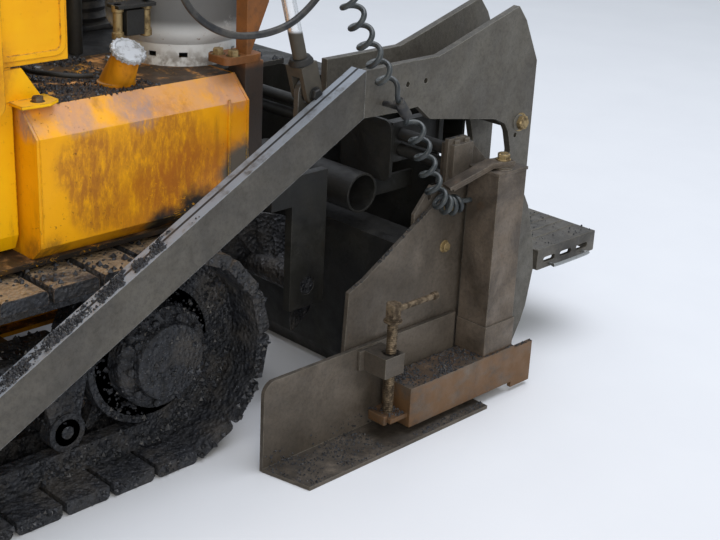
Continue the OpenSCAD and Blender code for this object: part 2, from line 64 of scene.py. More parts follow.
# Camera: its place, its lens and the angles of the photograph's view
CAMERA_PLACE, SENSOR, LENS = (3.394, -1.075, 1.70), 36, 67.75
YAW, PITCH, ROLL = (math.radians(a) for a in (45.93, 21.87, 2.9))
ahead = Vector((-math.cos(YAW) * math.cos(PITCH), math.sin(YAW) * math.cos(PITCH), -math.sin(PITCH)))
level = ahead.cross(Vector((0, 0, 1))).normalized()
rise = level.cross(ahead)
right = math.cos(ROLL) * level + math.sin(ROLL) * rise
up = -math.sin(ROLL) * level + math.cos(ROLL) * rise
camera_data = bpy.data.cameras.new("camera")
camera_data.sensor_width = SENSOR
camera_data.lens = LENS
camera_data.clip_start, camera_data.clip_end = 0.05, 200
camera = bpy.data.objects.new("camera", camera_data)
camera.matrix_world = Matrix.Translation(CAMERA_PLACE) @ Matrix((right, up, -ahead)).transposed().to_4x4()
scene.collection.objects.link(camera)
scene.camera = camera


# Shapes: every function adds its shape to an open bmesh
def frame_at(place, axis, spin=0.0):
    """Matrix that takes the Z axis to the given axis at a place."""
    turn = Vector(axis).to_track_quat("Z", "Y").to_matrix().to_4x4()
    return Matrix.Translation(place) @ turn @ Matrix.Rotation(math.radians(spin), 4, "Z")


def circle(radius, sides):
    """Places round a circle."""
    turns = [math.tau * k / sides for k in range(sides)]
    return [(radius * math.cos(a), radius * math.sin(a)) for a in turns]


def close_rings(bm, rings):
    """Joins each ring of vertices to the next one, and closes both ends."""
    sides = len(rings[0])
    for low, high in zip(rings, rings[1:]):
        for k in range(sides):
            bm.faces.new((low[k], low[(k + 1) % sides], high[(k + 1) % sides], high[k]))
    bm.faces.new(rings[0][::-1])
    bm.faces.new(rings[-1])


def lathe(bm, profile, sides=24, place=(0, 0, 0), axis=(0, 0, 1), spin=0.0):
    """A profile of (radius, height) turned round an axis; its ends are closed."""
    at = frame_at(place, axis, spin)
    rings = []
    for radius, height in profile:
        rings.append([bm.verts.new(at @ Vector((x, y, height))) for x, y in circle(radius, sides)])
    close_rings(bm, rings)


def bolt(bm, place, axis, across, head, spin=15.0):
    """A hexagon head with its chamfer, on a washer."""
    r = across / 2 / math.cos(math.pi / 6)
    base = 0.002
    lathe(bm, [(r * 1.25, 0), (r * 1.25, 0.0016), (r * 1.18, base)], 20, place, axis)
    lathe(bm, [(r, base), (r, base + head * 0.8), (r * 0.86, base + head)], 6, place, axis, spin)


def brick(bm, low, high, bevel=0.0):
    """A box from its lowest to its highest corner, with rounded edges."""
    low, high = Vector(low), Vector(high)
    made = bmesh.ops.create_cube(bm, size=1.0)["verts"]
    for v in made:
        v.co = (low + high) / 2 + Vector(c * s for c, s in zip(v.co, high - low))
    if bevel:
        edges = list({e for v in made for e in v.link_edges})
        bmesh.ops.bevel(bm, geom=edges, offset=bevel, segments=2, profile=0.6, affect="EDGES")


def smooth_line(places, step=0.004):
    """Points a step apart on the smooth curve through a route's places."""
    places = [Vector(p) for p in places]
    ends = [places[0]] + places + [places[-1]]
    line = [places[0]]
    for a, b, c, d in zip(ends, ends[1:], ends[2:], ends[3:]):
        count = max(1, round((c - b).length / step))
        for k in range(1, count + 1):
            f = k / count
            bow = a - 2.5 * b + 2 * c - d / 2
            sway = 1.5 * (b - c) + (d - a) / 2
            line.append(b + f * (c - a) / 2 + f * f * bow + f**3 * sway)
    return line


def rings_along(line):
    """Each point of a line with two directions across it that don't twist."""
    side = None
    for i, point in enumerate(line):
        way = (line[min(i + 1, len(line) - 1)] - line[max(i - 1, 0)]).normalized()
        if side is None:
            side = way.orthogonal().normalized()
        side = (side - way * side.dot(way)).normalized()
        yield point, side, way.cross(side)


def tube(bm, line, radius, sides=10):
    """A round tube along a line of points, closed at both ends; radius is a number or one for each point."""
    rings = []
    for i, (point, u, v) in enumerate(rings_along(line)):
        r = radius[i] if isinstance(radius, list) else radius
        rings.append([bm.verts.new(point + x * u + y * v) for x, y in circle(r, sides)])
    close_rings(bm, rings)


def length_of(line):
    return sum((b - a).length for a, b in zip(line, line[1:]))


def piece(name, body, look, bm, sharp=35.0):
    """Turns an open bmesh into a piece on a body, in one material."""
    mesh = bpy.data.meshes.new(name)
    bm.to_mesh(mesh)
    bm.free()
    mesh.shade_smooth()
    mesh.set_sharp_from_angle(angle=math.radians(sharp))
    mesh.materials.append(look)
    obj = bpy.data.objects.new(name, mesh)
    scene.collection.objects.link(obj)
    if body:
        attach(obj, body)
    return obj


def both(place, side):
    """A place of the left half, or its mirror image on the right."""
    return Vector((place[0] * side, place[1], place[2]))


SIDES = {"left": 1, "right": -1}


# Materials
def rgb(code):
    """Linear colour of a six-digit sRGB code."""
    parts = [int(code[i : i + 2], 16) / 255 for i in (0, 2, 4)]
    return tuple(c / 12.92 if c <= 0.04045 else ((c + 0.055) / 1.055) ** 2.4 for c in parts)


class Look:
    """A procedural material, built node by node."""

    def __init__(self, name):
        self.material = bpy.data.materials.new(name)
        self.material.use_nodes = True
        self.tree = self.material.node_tree
        self.shader = self.tree.nodes["Principled BSDF"]
        self.place = self.tree.nodes.new("ShaderNodeTexCoord").outputs["Object"]
        self.geometry = self.tree.nodes.new("ShaderNodeNewGeometry")
        self.normal = None

    def put(self, socket, value):
        if isinstance(value, bpy.types.NodeSocket):
            self.tree.links.new(value, socket)
        elif isinstance(value, str):
            socket.default_value = (*rgb(value), 1)
        else:
            socket.default_value = value

    def math(self, operation, a, b=0.0):
        n = self.tree.nodes.new("ShaderNodeMath")
        n.operation, n.use_clamp = operation, True
        self.put(n.inputs[0], a)
        self.put(n.inputs[1], b)
        return n.outputs[0]

    def times(self, *values):
        total = values[0]
        for value in values[1:]:
            total = self.math("MULTIPLY", total, value)
        return total

    def stretch(self, scale):
        n = self.tree.nodes.new("ShaderNodeMapping")
        self.put(n.inputs["Vector"], self.place)
        n.inputs["Scale"].default_value = scale
        return n.outputs[0]

    def noise(self, size, detail=4.0, rough=0.55, stretch=None, twist=0.0):
        """Noise whose blotches are about size metres across, 0 to 1."""
        n = self.tree.nodes.new("ShaderNodeTexNoise")
        self.put(n.inputs["Vector"], self.stretch(stretch) if stretch else self.place)
        n.inputs["Scale"].default_value = 1 / size
        n.inputs["Detail"].default_value = detail
        n.inputs["Roughness"].default_value = rough
        n.inputs["Distortion"].default_value = twist
        return n.outputs[0]

    def grains(self, size):
        """Distance to the nearest grain's centre, 0 to about 1."""
        n = self.tree.nodes.new("ShaderNodeTexVoronoi")
        self.put(n.inputs["Vector"], self.place)
        n.inputs["Scale"].default_value = 1 / size
        return n.outputs["Distance"]

    def step(self, value, low, high):
        """0 below low, 1 above high, smooth between."""
        n = self.tree.nodes.new("ShaderNodeMapRange")
        n.interpolation_type = "SMOOTHSTEP"
        self.put(n.inputs["Value"], value)
        n.inputs["From Min"].default_value, n.inputs["From Max"].default_value = low, high
        return n.outputs[0]

    def patches(self, low, high, *form, **more):
        """Patches of noise: 0 where it lies below low, 1 where above high."""
        return self.step(self.noise(*form, **more), low, high)

    def without(self, share):
        return self.math("SUBTRACT", 1.0, share)

    def mix(self, share, a, b):
        n = self.tree.nodes.new("ShaderNodeMix")
        n.data_type = "RGBA"
        self.put(n.inputs[0], share)
        self.put(n.inputs[6], a)
        self.put(n.inputs[7], b)
        return n.outputs[2]

    def part_of(self, vector, axis):
        n = self.tree.nodes.new("ShaderNodeSeparateXYZ")
        self.put(n.inputs[0], vector)
        return n.outputs[axis]

    def facing_up(self, low=0.3, high=0.9):
        return self.step(self.part_of(self.geometry.outputs["Normal"], 2), low, high)

    def height(self, low, high):
        return self.step(self.part_of(self.place, 2), low, high)

    def spot(self, centre, radius, ragged=0.6):
        """A ragged blotch round a place: 1 inside, 0 outside."""
        n = self.tree.nodes.new("ShaderNodeVectorMath")
        n.operation = "DISTANCE"
        self.put(n.inputs[0], self.place)
        n.inputs[1].default_value = centre
        wave = self.math("MULTIPLY", self.noise(radius * 0.6, 6, 0.65), ragged * radius * 2)
        reach = self.math("ADD", self.math("SUBTRACT", n.outputs["Value"], ragged * radius), wave)
        return self.without(self.step(reach, radius * 0.55, radius * 1.05))

    def round_edges(self, radius):
        """Softens sharp edges in the shading, and keeps the result for bump."""
        bevel = self.tree.nodes.new("ShaderNodeBevel")
        bevel.samples = 4
        bevel.inputs["Radius"].default_value = radius
        self.normal = bevel.outputs[0]
        self.put(self.shader.inputs["Normal"], self.normal)

    def edges(self, high=0.2):
        """1 near the edges that round_edges found."""
        dot = self.tree.nodes.new("ShaderNodeVectorMath")
        dot.operation = "DOT_PRODUCT"
        self.put(dot.inputs[0], self.normal)
        self.put(dot.inputs[1], self.geometry.outputs["True Normal"])
        return self.step(self.without(dot.outputs["Value"]), 0.005, high)

    def bump(self, height, depth):
        n = self.tree.nodes.new("ShaderNodeBump")
        n.inputs["Distance"].default_value = depth
        self.put(n.inputs["Height"], height)
        if self.normal:
            self.put(n.inputs["Normal"], self.normal)
        self.normal = n.outputs[0]
        self.put(self.shader.inputs["Normal"], self.normal)

    def finish(self, colour, rough=0.6, metal=0.0):
        self.put(self.shader.inputs["Base Color"], colour)
        self.put(self.shader.inputs["Roughness"], rough)
        self.put(self.shader.inputs["Metallic"], metal)
        return self.material


def paint(name, colour, deep, grime, stains=(), soot=0.0, film="a5825a", edge="4a3a2a"):
    """Worn paint: two tones, running brown grime, specks, a film on slopes, soot on top, named stains."""
    look = Look(name)
    look.round_edges(0.004)
    tone = look.mix(look.patches(0.38, 0.66, 0.45, 5, 0.6), colour, deep)
    runs = look.patches(0.66 - 0.2 * grime, 0.86 - 0.2 * grime, 0.10, 6, 0.6, stretch=(1, 1, 0.22), twist=0.5)
    tone = look.mix(look.times(runs, 0.6), tone, "7a4d16")
    for centre, radius, dirt, depth in stains:
        blotch = look.times(look.spot(centre, radius, 0.35), depth)
        if depth < 1:
            blotch = look.times(blotch, look.patches(0.28, 0.62, 0.02, 7, 0.78, stretch=(1, 1, 0.4)))
        tone = look.mix(blotch, tone, dirt)
    slope = look.times(look.facing_up(0.2, 0.6), look.patches(0.30, 0.62, 0.09, 5, 0.65), 0.8)
    tone = look.mix(slope, tone, film)
    if soot:
        dark = look.times(look.facing_up(0.93, 0.98), look.patches(0.30, 0.5, 0.05, 6, 0.7), soot)
        tone = look.mix(dark, tone, "25221f")
    specks = look.patches(0.64, 0.71, 0.009, 3, 0.7)
    tone = look.mix(look.times(specks, look.patches(0.4, 0.65, 0.2), 0.7), tone, "3c2a16")
    scratches = look.patches(0.58, 0.66, 0.010, 5, 0.7, stretch=(1, 0.5, 1), twist=1.5)
    tone = look.mix(look.times(scratches, look.patches(0.5, 0.62, 0.12), 0.8), tone, colour)
    worn = look.times(look.edges(), look.patches(0.42, 0.6, 0.02, 4, 0.7))
    tone = look.mix(look.times(worn, 0.85), tone, edge)
    look.bump(look.noise(0.09, 3, 0.5), 0.004)
    look.bump(specks, 0.0006)
    rough = look.math("ADD", look.times(look.patches(0.3, 0.7, 0.12), 0.3), 0.38)
    look.shader.inputs["Specular IOR Level"].default_value = 0.25
    return look.finish(tone, rough)


def polished_strip(look, tone):
    """The tow arms' top: polished where it slopes up, with a dark groove along it."""
    groove = 0.0
    for low, high in ((1.162, 1.169), (-1.169, -1.162)):
        after = look.step(look.part_of(look.place, 0), low - 0.001, low + 0.001)
        before = look.without(look.step(look.part_of(look.place, 0), high - 0.001, high + 0.001))
        groove = look.math("MAXIMUM", groove, look.times(after, before))
    strip = look.times(look.facing_up(0.6, 0.8), look.patches(0.25, 0.5, 0.05, 6, 0.7))
    return look.mix(look.times(strip, 0.9), tone, look.mix(groove, "8d949c", "1c1e21"))


def steel(name, colour, light, rust, rusted, shine, dusty, edge="8e8878", rusty_below=0.0, polished=False):
    """Bare worked steel: two tones, rust, long scratches, pale edges and asphalt dust on top."""
    look = Look(name)
    look.round_edges(0.003)
    tone = look.mix(look.patches(0.34, 0.7, 0.22, 6, 0.62, twist=0.7), colour, light)
    rusty = look.patches(0.72 - 0.35 * rusted, 0.86 - 0.3 * rusted, 0.07, 7, 0.68, twist=0.3)
    tone = look.mix(look.times(rusty, 0.7), tone, rust)
    fine = look.patches(0.4, 0.72, 0.010, 5, 0.75)
    tone = look.mix(look.times(fine, 0.35), tone, "1f1d1a")
    rubbed = look.patches(0.56, 0.72, 0.05, 7, 0.72, stretch=(1, 0.5, 1), twist=1.2)
    tone = look.mix(look.times(rubbed, look.patches(0.42, 0.62, 0.3), 0.45), tone, light)
    tone = look.mix(look.times(look.edges(), look.patches(0.3, 0.6, 0.03, 4, 0.7), 0.75), tone, edge)
    if rusty_below:
        foot = look.without(look.height(rusty_below - 0.01, rusty_below + 0.01))
        patches = look.patches(0.3, 0.55, 0.06, 7, 0.7, stretch=(1, 0.6, 1))
        tone = look.mix(look.times(foot, patches, 0.75), tone, "74522f")
    dust = look.times(look.facing_up(), look.patches(0.3, 0.55, 0.03, 6, 0.7), dusty)
    tone = look.mix(dust, tone, "1b1b1c")
    if polished:
        tone = polished_strip(look, tone)
    look.bump(look.noise(0.012, 6, 0.7), 0.0012)
    rough = look.math("ADD", look.times(look.patches(0.3, 0.7, 0.05, 4), 0.28), 0.42)
    return look.finish(tone, rough, shine)


def tarred(name, tan=0.0, polish=0.0):
    """Steel under a crust of asphalt, with tan dust on what faces up."""
    look = Look(name)
    look.round_edges(0.004)
    grit = look.grains(0.011)
    tone = look.mix(look.patches(0.35, 0.7, 0.02, 6, 0.7), "17181b", "2f3136")
    tone = look.mix(look.times(look.patches(0.45, 0.7, 0.12, 5, 0.6), 0.6), tone, "4b4640")
    glint = look.patches(0.66, 0.72, 0.004, 2, 0.6)
    tone = look.mix(look.times(glint, 0.6), tone, "8a8f98")
    if tan:
        dust = look.times(look.facing_up(0.5, 0.95), look.height(0.45, 0.56), tan)
        dust = look.times(dust, look.patches(0.36, 0.56, 0.09, 6, 0.65))
        tone = look.mix(dust, tone, "8f7a5e")
        tone = look.mix(look.times(look.edges(), look.height(0.45, 0.56), 0.6), tone, "6b5640")
    look.bump(grit, 0.005)
    look.bump(look.noise(0.03, 5, 0.65), 0.006)
    rough = look.math("ADD", look.times(look.patches(0.35, 0.65, 0.03, 4), 0.4), 0.4)
    return look.finish(tone, rough, polish)


def metal(name, colour, dirt, rough, shine, dirty):
    """Plated or machined metal with dirt in patches."""
    look = Look(name)
    look.round_edges(0.001)
    patches = look.patches(0.62 - 0.3 * dirty, 0.8 - 0.25 * dirty, 0.02, 6, 0.7)
    tone = look.mix(look.times(patches, 0.8), colour, dirt)
    look.bump(look.noise(0.006, 4, 0.7), 0.0003)
    return look.finish(tone, look.math("ADD", look.times(patches, 0.45), rough), shine)


def coated(name, colour, dust, rough=0.5, dusty=0.5, grain=0.0025, depth=0.0002):
    """Rubber, vinyl or moulded plastic with a fine grain and dust on top."""
    look = Look(name)
    look.round_edges(0.002)
    film = look.times(look.patches(0.4, 0.7, 0.04, 6, 0.65), dusty)
    tone = look.mix(film, colour, dust)
    up = look.times(look.facing_up(), look.patches(0.4, 0.65, 0.015, 5, 0.7), dusty)
    tone = look.mix(up, tone, dust)
    look.bump(look.grains(grain), depth)
    return look.finish(tone, look.math("ADD", look.times(film, 0.3), rough))


def white_paint():
    """The propane cylinder: white, sooty above its shoulder, with rust specks and a dirty foot."""
    look = Look("cylinder_white")
    look.round_edges(0.002)
    tone = look.mix(look.patches(0.35, 0.7, 0.2, 5), "f2f4f3", "dcdedd")
    sooty = look.times(look.patches(0.36, 0.46, 0.14, 7, 0.66, twist=0.6), look.height(1.00, 1.04))
    tone = look.mix(look.times(sooty, 0.85), tone, "302e2b")
    tone = look.mix(look.times(look.patches(0.64, 0.7, 0.02, 5, 0.7), 0.8), tone, "7a4f2c")
    foot = look.without(look.height(0.93, 0.98))
    tone = look.mix(look.times(foot, look.patches(0.4, 0.6, 0.03, 5), 0.7), tone, "6b5a44")
    look.bump(look.noise(0.01, 4, 0.6), 0.0005)
    return look.finish(tone, look.math("ADD", look.times(sooty, 0.35), 0.35))


def rod_chrome():
    """The lift rods: bright above the clevis, dark forged steel at it."""
    look = Look("rod_chrome")
    look.round_edges(0.002)
    forged = look.without(look.height(1.035, 1.045))
    tone = look.mix(look.times(look.patches(0.55, 0.75, 0.05, 5), 0.3), "eceef0", "9a968e")
    tone = look.mix(forged, tone, look.mix(look.noise(0.03, 5), "3c3a35", "5d564a"))
    look.bump(look.noise(0.01, 4, 0.6), 0.0003)
    rough = look.math("ADD", look.times(forged, 0.35), 0.27)
    return look.finish(tone, rough, look.math("SUBTRACT", 0.75, look.times(forged, 0.4)))


def brown_paint():
    """The lift posts: worn brown above the deck, with a near-black painted shadow on the plate below it."""
    look = Look("brown_post")
    look.round_edges(0.003)
    tone = look.mix(look.patches(0.35, 0.7, 0.12, 6, 0.65), "8a5526", "6c431f")
    tone = look.mix(look.times(look.patches(0.5, 0.66, 0.05, 7, 0.7), 0.7), tone, "4c3524")
    tone = look.mix(look.times(look.edges(), 0.5), tone, "b07a42")
    # Painted shadow: below the deck level the post's colour is pulled almost fully to near black (1f1e1c).
    below = look.without(look.height(0.93, 0.955))
    tone = look.mix(look.times(below, 0.93), tone, "1f1e1c")
    look.bump(look.noise(0.01, 5, 0.7), 0.0008)
    return look.finish(tone, 0.62)


# Cords: their routes, in metres
HOSE_R = 0.008
HOSE_ROUTE = [
    (1.158, 0.858, 1.576), (1.180, 0.820, 1.570), (1.200, 0.770, 1.549), (1.213, 0.705, 1.513),
    (1.213, 0.655, 1.470), (1.213, 0.618, 1.405), (1.213, 0.600, 1.330), (1.213, 0.600, 1.250),
    (1.213, 0.615, 1.195), (1.213, 0.645, 1.147), (1.213, 0.690, 1.110), (1.213, 0.745, 1.085),
    (1.213, 0.802, 1.075), (1.213, 0.865, 1.076), (1.213, 0.925, 1.090), (1.213, 0.980, 1.122),
    (1.213, 1.025, 1.165), (1.213, 1.056, 1.215), (1.212, 1.069, 1.264), (1.208, 1.062, 1.305),
    (1.200, 1.035, 1.338), (1.186, 0.996, 1.350), (1.166, 0.958, 1.348),
]
COIL_R, WIRE_R, COIL_STEP, COIL_LEAD = 0.028, 0.0066, 0.0012, 0.006
UPPER_ROUTE = [
    (1.152, 0.866, 1.622), (1.178, 0.890, 1.570), (1.214, 0.930, 1.505), (1.243, 0.968, 1.440),
    (1.256, 0.990, 1.375), (1.256, 1.003, 1.308), (1.256, 1.018, 1.240), (1.256, 1.040, 1.175),
    (1.256, 1.066, 1.115), (1.256, 1.100, 1.058), (1.256, 1.135, 1.005), (1.256, 1.175, 0.952),
    (1.256, 1.210, 0.906), (1.256, 1.246, 0.861),
]
LOWER_ROUTE = [
    (1.256, 1.258, 0.846), (1.256, 1.300, 0.793), (1.258, 1.338, 0.722), (1.262, 1.367, 0.655),
    (1.266, 1.393, 0.604), (1.270, 1.425, 0.577), (1.272, 1.462, 0.572), (1.272, 1.490, 0.573),
    (1.272, 1.515, 0.573),
]

RUBBER = coated("hose_rubber", "16171a", "5a564e", 0.45, 0.5)
JACKET = coated("cord_jacket", "24292b", "5d6260", 0.35, 0.35)


def declared_tube(name, body, look, line, radius, **facts):
    """A cord as a mesh tube along its line."""
    bm = bmesh.new()
    tube(bm, line, radius, 10)
    obj = piece(name, None, look, bm, 60)
    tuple(line[0])
    length_of(line)
    if body:
        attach(obj, body)
    return obj


def helix(route, pitch, end_pitch, end_run, flare=0.080):
    """A curly cord's line: straight at both ends, flaring out to the coil, with closer turns at its end."""
    axis = smooth_line(route, COIL_STEP)
    total = length_of(axis)
    points, gone, turn = [], 0.0, 0.0
    before = axis[0]
    for point, u, v in rings_along(axis):
        run = (point - before).length
        gone, before = gone + run, point
        share = min(1.0, max(0.0, (total - gone - end_run) / 0.05))
        edge = min(1.0, max(0.0, (min(gone, total - gone) - COIL_LEAD) / flare))
        turn += edge * edge * math.tau * run / (end_pitch + (pitch - end_pitch) * share)
        reach = (COIL_R - WIRE_R - 0.0003) * edge * edge * (3 - 2 * edge)
        points.append(point + reach * (math.cos(turn) * u + math.sin(turn) * v))
    return points


declared_tube(
    "lift_cylinder_hose", "barrel_left", RUBBER, smooth_line(HOSE_ROUTE, 0.006), HOSE_R,
    far_end="object", stiffness="stiff", lay="hanging",
)
side_cord = declared_tube(
    "curly_cord_to_side", None, JACKET, helix(UPPER_ROUTE, 0.056, 0.056, 0.0), WIRE_R,
    far_end="object", stiffness="limp", lay="hanging",
)
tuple(UPPER_ROUTE[1])
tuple(UPPER_ROUTE[11])
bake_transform(side_cord)
gate_cord = declared_tube(
    "curly_cord_to_gate", None, JACKET, helix(LOWER_ROUTE, 0.052, 0.020, 0.095, flare=0.060), WIRE_R,
    far_end="object", stiffness="limp", lay="hanging",
)
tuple(LOWER_ROUTE[1])
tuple(LOWER_ROUTE[4])
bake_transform(gate_cord)

# Where the curly cord's two lengths meet: a sleeve held by a pin on the side frame
SLEEVE_R, PIN_R, OVERLAP = 0.014, 0.007, Vector((0, 0.010, -0.0125))
bm = bmesh.new()
tube(bm, [Vector(UPPER_ROUTE[-1]) - OVERLAP, Vector(LOWER_ROUTE[0]) + OVERLAP], SLEEVE_R, 24)
tube(bm, [Vector((1.193, 1.252, 0.8535)), Vector((1.256, 1.252, 0.8535))], PIN_R, 16)
piece("curly_cord_sleeve", "screed", RUBBER, bm)


# Studio: plain light and floor
world = bpy.data.worlds.new("studio")
scene.world = world
world.use_nodes = True
world.node_tree.nodes["Background"].inputs["Color"].default_value = (*rgb("dfe6ee"), 1)
world.node_tree.nodes["Background"].inputs["Strength"].default_value = 0.75
scene.view_settings.view_transform = "Standard"


def area_light(name, place, target, size, power, colour):
    data = bpy.data.lights.new(name, "AREA")
    data.shape = "DISK"
    data.size, data.energy, data.color = size, power, rgb(colour)
    lamp = bpy.data.objects.new(name, data)
    lamp.location = place
    lamp.rotation_mode = "QUATERNION"
    lamp.rotation_quaternion = (Vector(target) - Vector(place)).to_track_quat("-Z", "Y")
    scene.collection.objects.link(lamp)


area_light("sky_light", (1.5, 2.5, 8.0), (0, 0.3, 0.3), 7.0, 520, "f4f6ff")
area_light("side_light", (6.5, -3.0, 4.0), (0.8, 0.6, 0.4), 3.5, 160, "fff6ea")

floor_mesh = bpy.data.meshes.new("floor")
floor_mesh.from_pydata([(-60, -60, 0), (60, -60, 0), (60, 60, 0), (-60, 60, 0)], [], [(0, 1, 2, 3)])
floor = bpy.data.objects.new("floor", floor_mesh)
scene.collection.objects.link(floor)
floor_look = Look("pale_floor")
floor_tone = floor_look.mix(floor_look.noise(0.4), "d3d5d8", "dadcde")
floor_mesh.materials.append(floor_look.finish(floor_tone, 0.95))

# Finishes, with stains as rows of centre, radius, colour and depth
BROWN, SOOT, CRUST = "a8681c", "241f1a", "b0661a"
TANK_STAINS = [
    ((1.022, 0.52, 0.79), 0.10, BROWN, 0.95), ((1.022, 0.54, 0.70), 0.09, BROWN, 0.9),
    ((1.022, 0.72, 0.80), 0.15, BROWN, 0.9), ((1.022, 0.80, 0.68), 0.16, CRUST, 0.9),
    ((1.022, 0.66, 0.66), 0.10, CRUST, 0.7),
    ((1.022, 0.72, 0.595), 0.065, SOOT, 1.0), ((1.022, 0.81, 0.605), 0.085, SOOT, 1.0),
    ((1.022, 0.69, 0.592), 0.030, "8c7a4e", 1.0),
    ((1.022, 0.955, 0.70), 0.085, "5b5348", 1.0), ((1.0, 0.42, 0.60), 0.06, SOOT, 0.6),
    ((0.99, 0.50, 0.90), 0.06, "94807c", 0.9), ((0.99, 0.66, 0.90), 0.07, "94807c", 0.95),
    ((0.99, 0.36, 0.90), 0.06, "94807c", 0.9), ((0.99, 0.92, 0.90), 0.07, "b0826a", 0.9),
]
FRAME_STAINS = [((0.95, -0.2, 0.95), 0.12, BROWN, 0.6), ((0.95, 0.3, 1.0), 0.10, BROWN, 0.6)]
SHELF_STAINS = [((0.99, y, 0.585), 0.30, SOOT, 1.0) for y in (-0.3, 0.1, 0.5, 0.9)]
FINISHES = {
    "frame_paint": paint("frame_paint", "f7bd02", "eea603", 0.3, FRAME_STAINS, soot=0.12, film="dfa940"),
    "hopper_paint": paint("hopper_paint", "e9a406", "c9820c", 0.7, SHELF_STAINS, soot=0.85),
    "tank_paint": paint(
        "tank_paint", "efa703", "dc8a08", 0.6, TANK_STAINS, soot=0.95, film="c99468", edge="fdc400",
    ),
    "deck_steel": steel("deck_steel", "2b2925", "3a352d", "4a3524", 0.4, 0.2, 0.9),
    "gate_steel": steel("gate_steel", "544c42", "70665a", "6a4e36", 0.25, 0.35, 0.5),
    "side_steel": steel("side_steel", "56524b", "69655c", "6a5238", 0.15, 0.35, 0.4, edge="a7a698"),
    "arm_steel": steel("arm_steel", "4a4742", "5f5b53", "5c4a38", 0.15, 0.35, 0.1, "b4b8ba", polished=True),
    "post_steel": steel("post_steel", "483f35", "75685a", "704c2c", 0.3, 0.3, 0.5, rusty_below=0.14),
    "tread_steel": steel("tread_steel", "3c3a37", "6b665d", "6a5238", 0.3, 0.3, 0.25),
    "dark_steel": steel("dark_steel", "262625", "35342f", "4a3b2a", 0.25, 0.3, 0.6, edge="4d4b45"),
    "track_steel": tarred("track_steel", tan=0.85),
    "tarred_steel": tarred("tarred_steel", tan=0.0, polish=0.15),
    "brass": metal("brass", "9c875e", "4a3b28", 0.4, 0.55, 0.65),
    "cap_silver": metal("cap_silver", "a9acae", "77746e", 0.5, 0.5, 0.5),
    "zinc": metal("zinc", "a3a5a4", "5b5347", 0.35, 0.9, 0.45),
    "screw_steel": metal("screw_steel", "7a6a54", "33291f", 0.45, 0.6, 0.8),
    "rusty_paint": paint("rusty_paint", "e0950a", "b5641a", 1.0),
    "plastic": coated("console_plastic", "222327", "6a655c", 0.5, 0.4, 0.0016),
    "vinyl": coated("seat_vinyl", "17181a", "6b655a", 0.4, 0.35, 0.003, 0.0003),
    "rod_chrome": rod_chrome(),
    "brown_post": brown_paint(),
    "cylinder_white": white_paint(),
}
# The nodes that wear each finish; * stands for left and for right
WEARS = {
    "frame_paint": ["engine_hood", "engine_cowls"],
    "hopper_paint": ["main_frame", "hopper_base", "hopper_wing_*", "push_beam"],
    "tank_paint": ["side_tank_*"],
    "rusty_paint": ["fuel_fillers"],
    "cylinder_white": ["propane_cylinder"],
    "brown_post": ["lift_posts"],
    "deck_steel": ["deck"],
    "tread_steel": ["walkway"],
    "gate_steel": ["end_plate_*", "ski_*"],
    "side_steel": ["side_plate_*"],
    "arm_steel": ["tow_arm_*"],
    "post_steel": ["gate_post_*"],
    "screw_steel": ["gate_screw_*"],
    "rod_chrome": ["lift_rod_*"],
    "dark_steel": [
        "main_screed", "extension_*", "burner_tubes", "auger_frame", "lift_barrel_*", "engine",
        "push_roller_*", "guard_rails",
    ],
    "tarred_steel": ["conveyor", "auger_*", "track_frame_*"],
    "track_steel": ["track_*"],
    "plastic": ["console"],
    "vinyl": ["seats"],
}


for look_name, wearers in WEARS.items():
    for node_name in wearers:
        for side_name in SIDES:
            worn = nodes[node_name.replace("*", side_name)].data.materials
            worn.clear()
            worn.append(FINISHES[look_name])


# Seats: padded cushions and backs with piping, in the space of their solids
SEAT_X, SEAT_HALF, SEAT_FRONT, SEAT_BACK, SEAT_Z = 0.300, 0.200, 0.820, 1.085, 1.130


def apply_modifiers(obj):
    """Gives the object the mesh that its modifiers make."""
    mesh = bpy.data.meshes.new_from_object(obj.evaluated_get(bpy.context.evaluated_depsgraph_get()))
    obj.modifiers.clear()
    obj.data = mesh


def cushion(name, low, high, swell=0.011):
    """A pad blown up by cloth simulation from a smaller rounded block, kept inside its box."""
    bm = bmesh.new()
    brick(bm, Vector(low) + Vector((swell,) * 3), Vector(high) - Vector((swell,) * 3), 0.018)
    obj = piece(name, None, FINISHES["vinyl"], bm, 80)
    remesh = obj.modifiers.new("remesh", "REMESH")
    remesh.mode, remesh.voxel_size = "VOXEL", 0.009
    apply_modifiers(obj)
    start = [v.co.copy() for v in obj.data.vertices]
    cloth = obj.modifiers.new("cloth", "CLOTH")
    cloth.settings.use_pressure = True
    cloth.settings.uniform_pressure_force = 4
    cloth.settings.effector_weights.gravity = 0
    for number in range(1, 16):
        scene.frame_set(number)
    apply_modifiers(obj)
    scene.frame_set(1)
    lies_flat = low[2] < SEAT_Z + 0.01
    for v, place in zip(obj.data.vertices, start):
        move = v.co - place
        if move.length > swell:
            v.co = place + move.normalized() * swell
        if lies_flat and v.co.z < low[2] + swell * 1.5 and place.z < low[2] + swell * 1.2:
            v.co.z = low[2] + 0.0005
    smooth = obj.modifiers.new("smooth", "SUBSURF")
    smooth.levels = smooth.render_levels = 1
    apply_modifiers(obj)
    obj.data.shade_smooth()
    return obj


def piping(name, low, high, level, radius=0.0045, corner=0.04):
    """A sewn cord round a pad's edge, at a level along Z."""
    bm = bmesh.new()
    line = []
    corners = ((high[0], high[1], 0), (low[0], high[1], 90), (low[0], low[1], 180), (high[0], low[1], 270))
    for cx, cy, start in corners:
        for k in range(7):
            a = math.radians(start + 15 * k)
            x = cx - math.copysign(corner + radius, cx - (low[0] + high[0]) / 2)
            y = cy - math.copysign(corner + radius, cy - (low[1] + high[1]) / 2)
            line.append(Vector((x + corner * math.cos(a), y + corner * math.sin(a), level)))
    tube(bm, line + [line[0]], radius, 8)
    return piece(name, None, FINISHES["vinyl"], bm, 80)


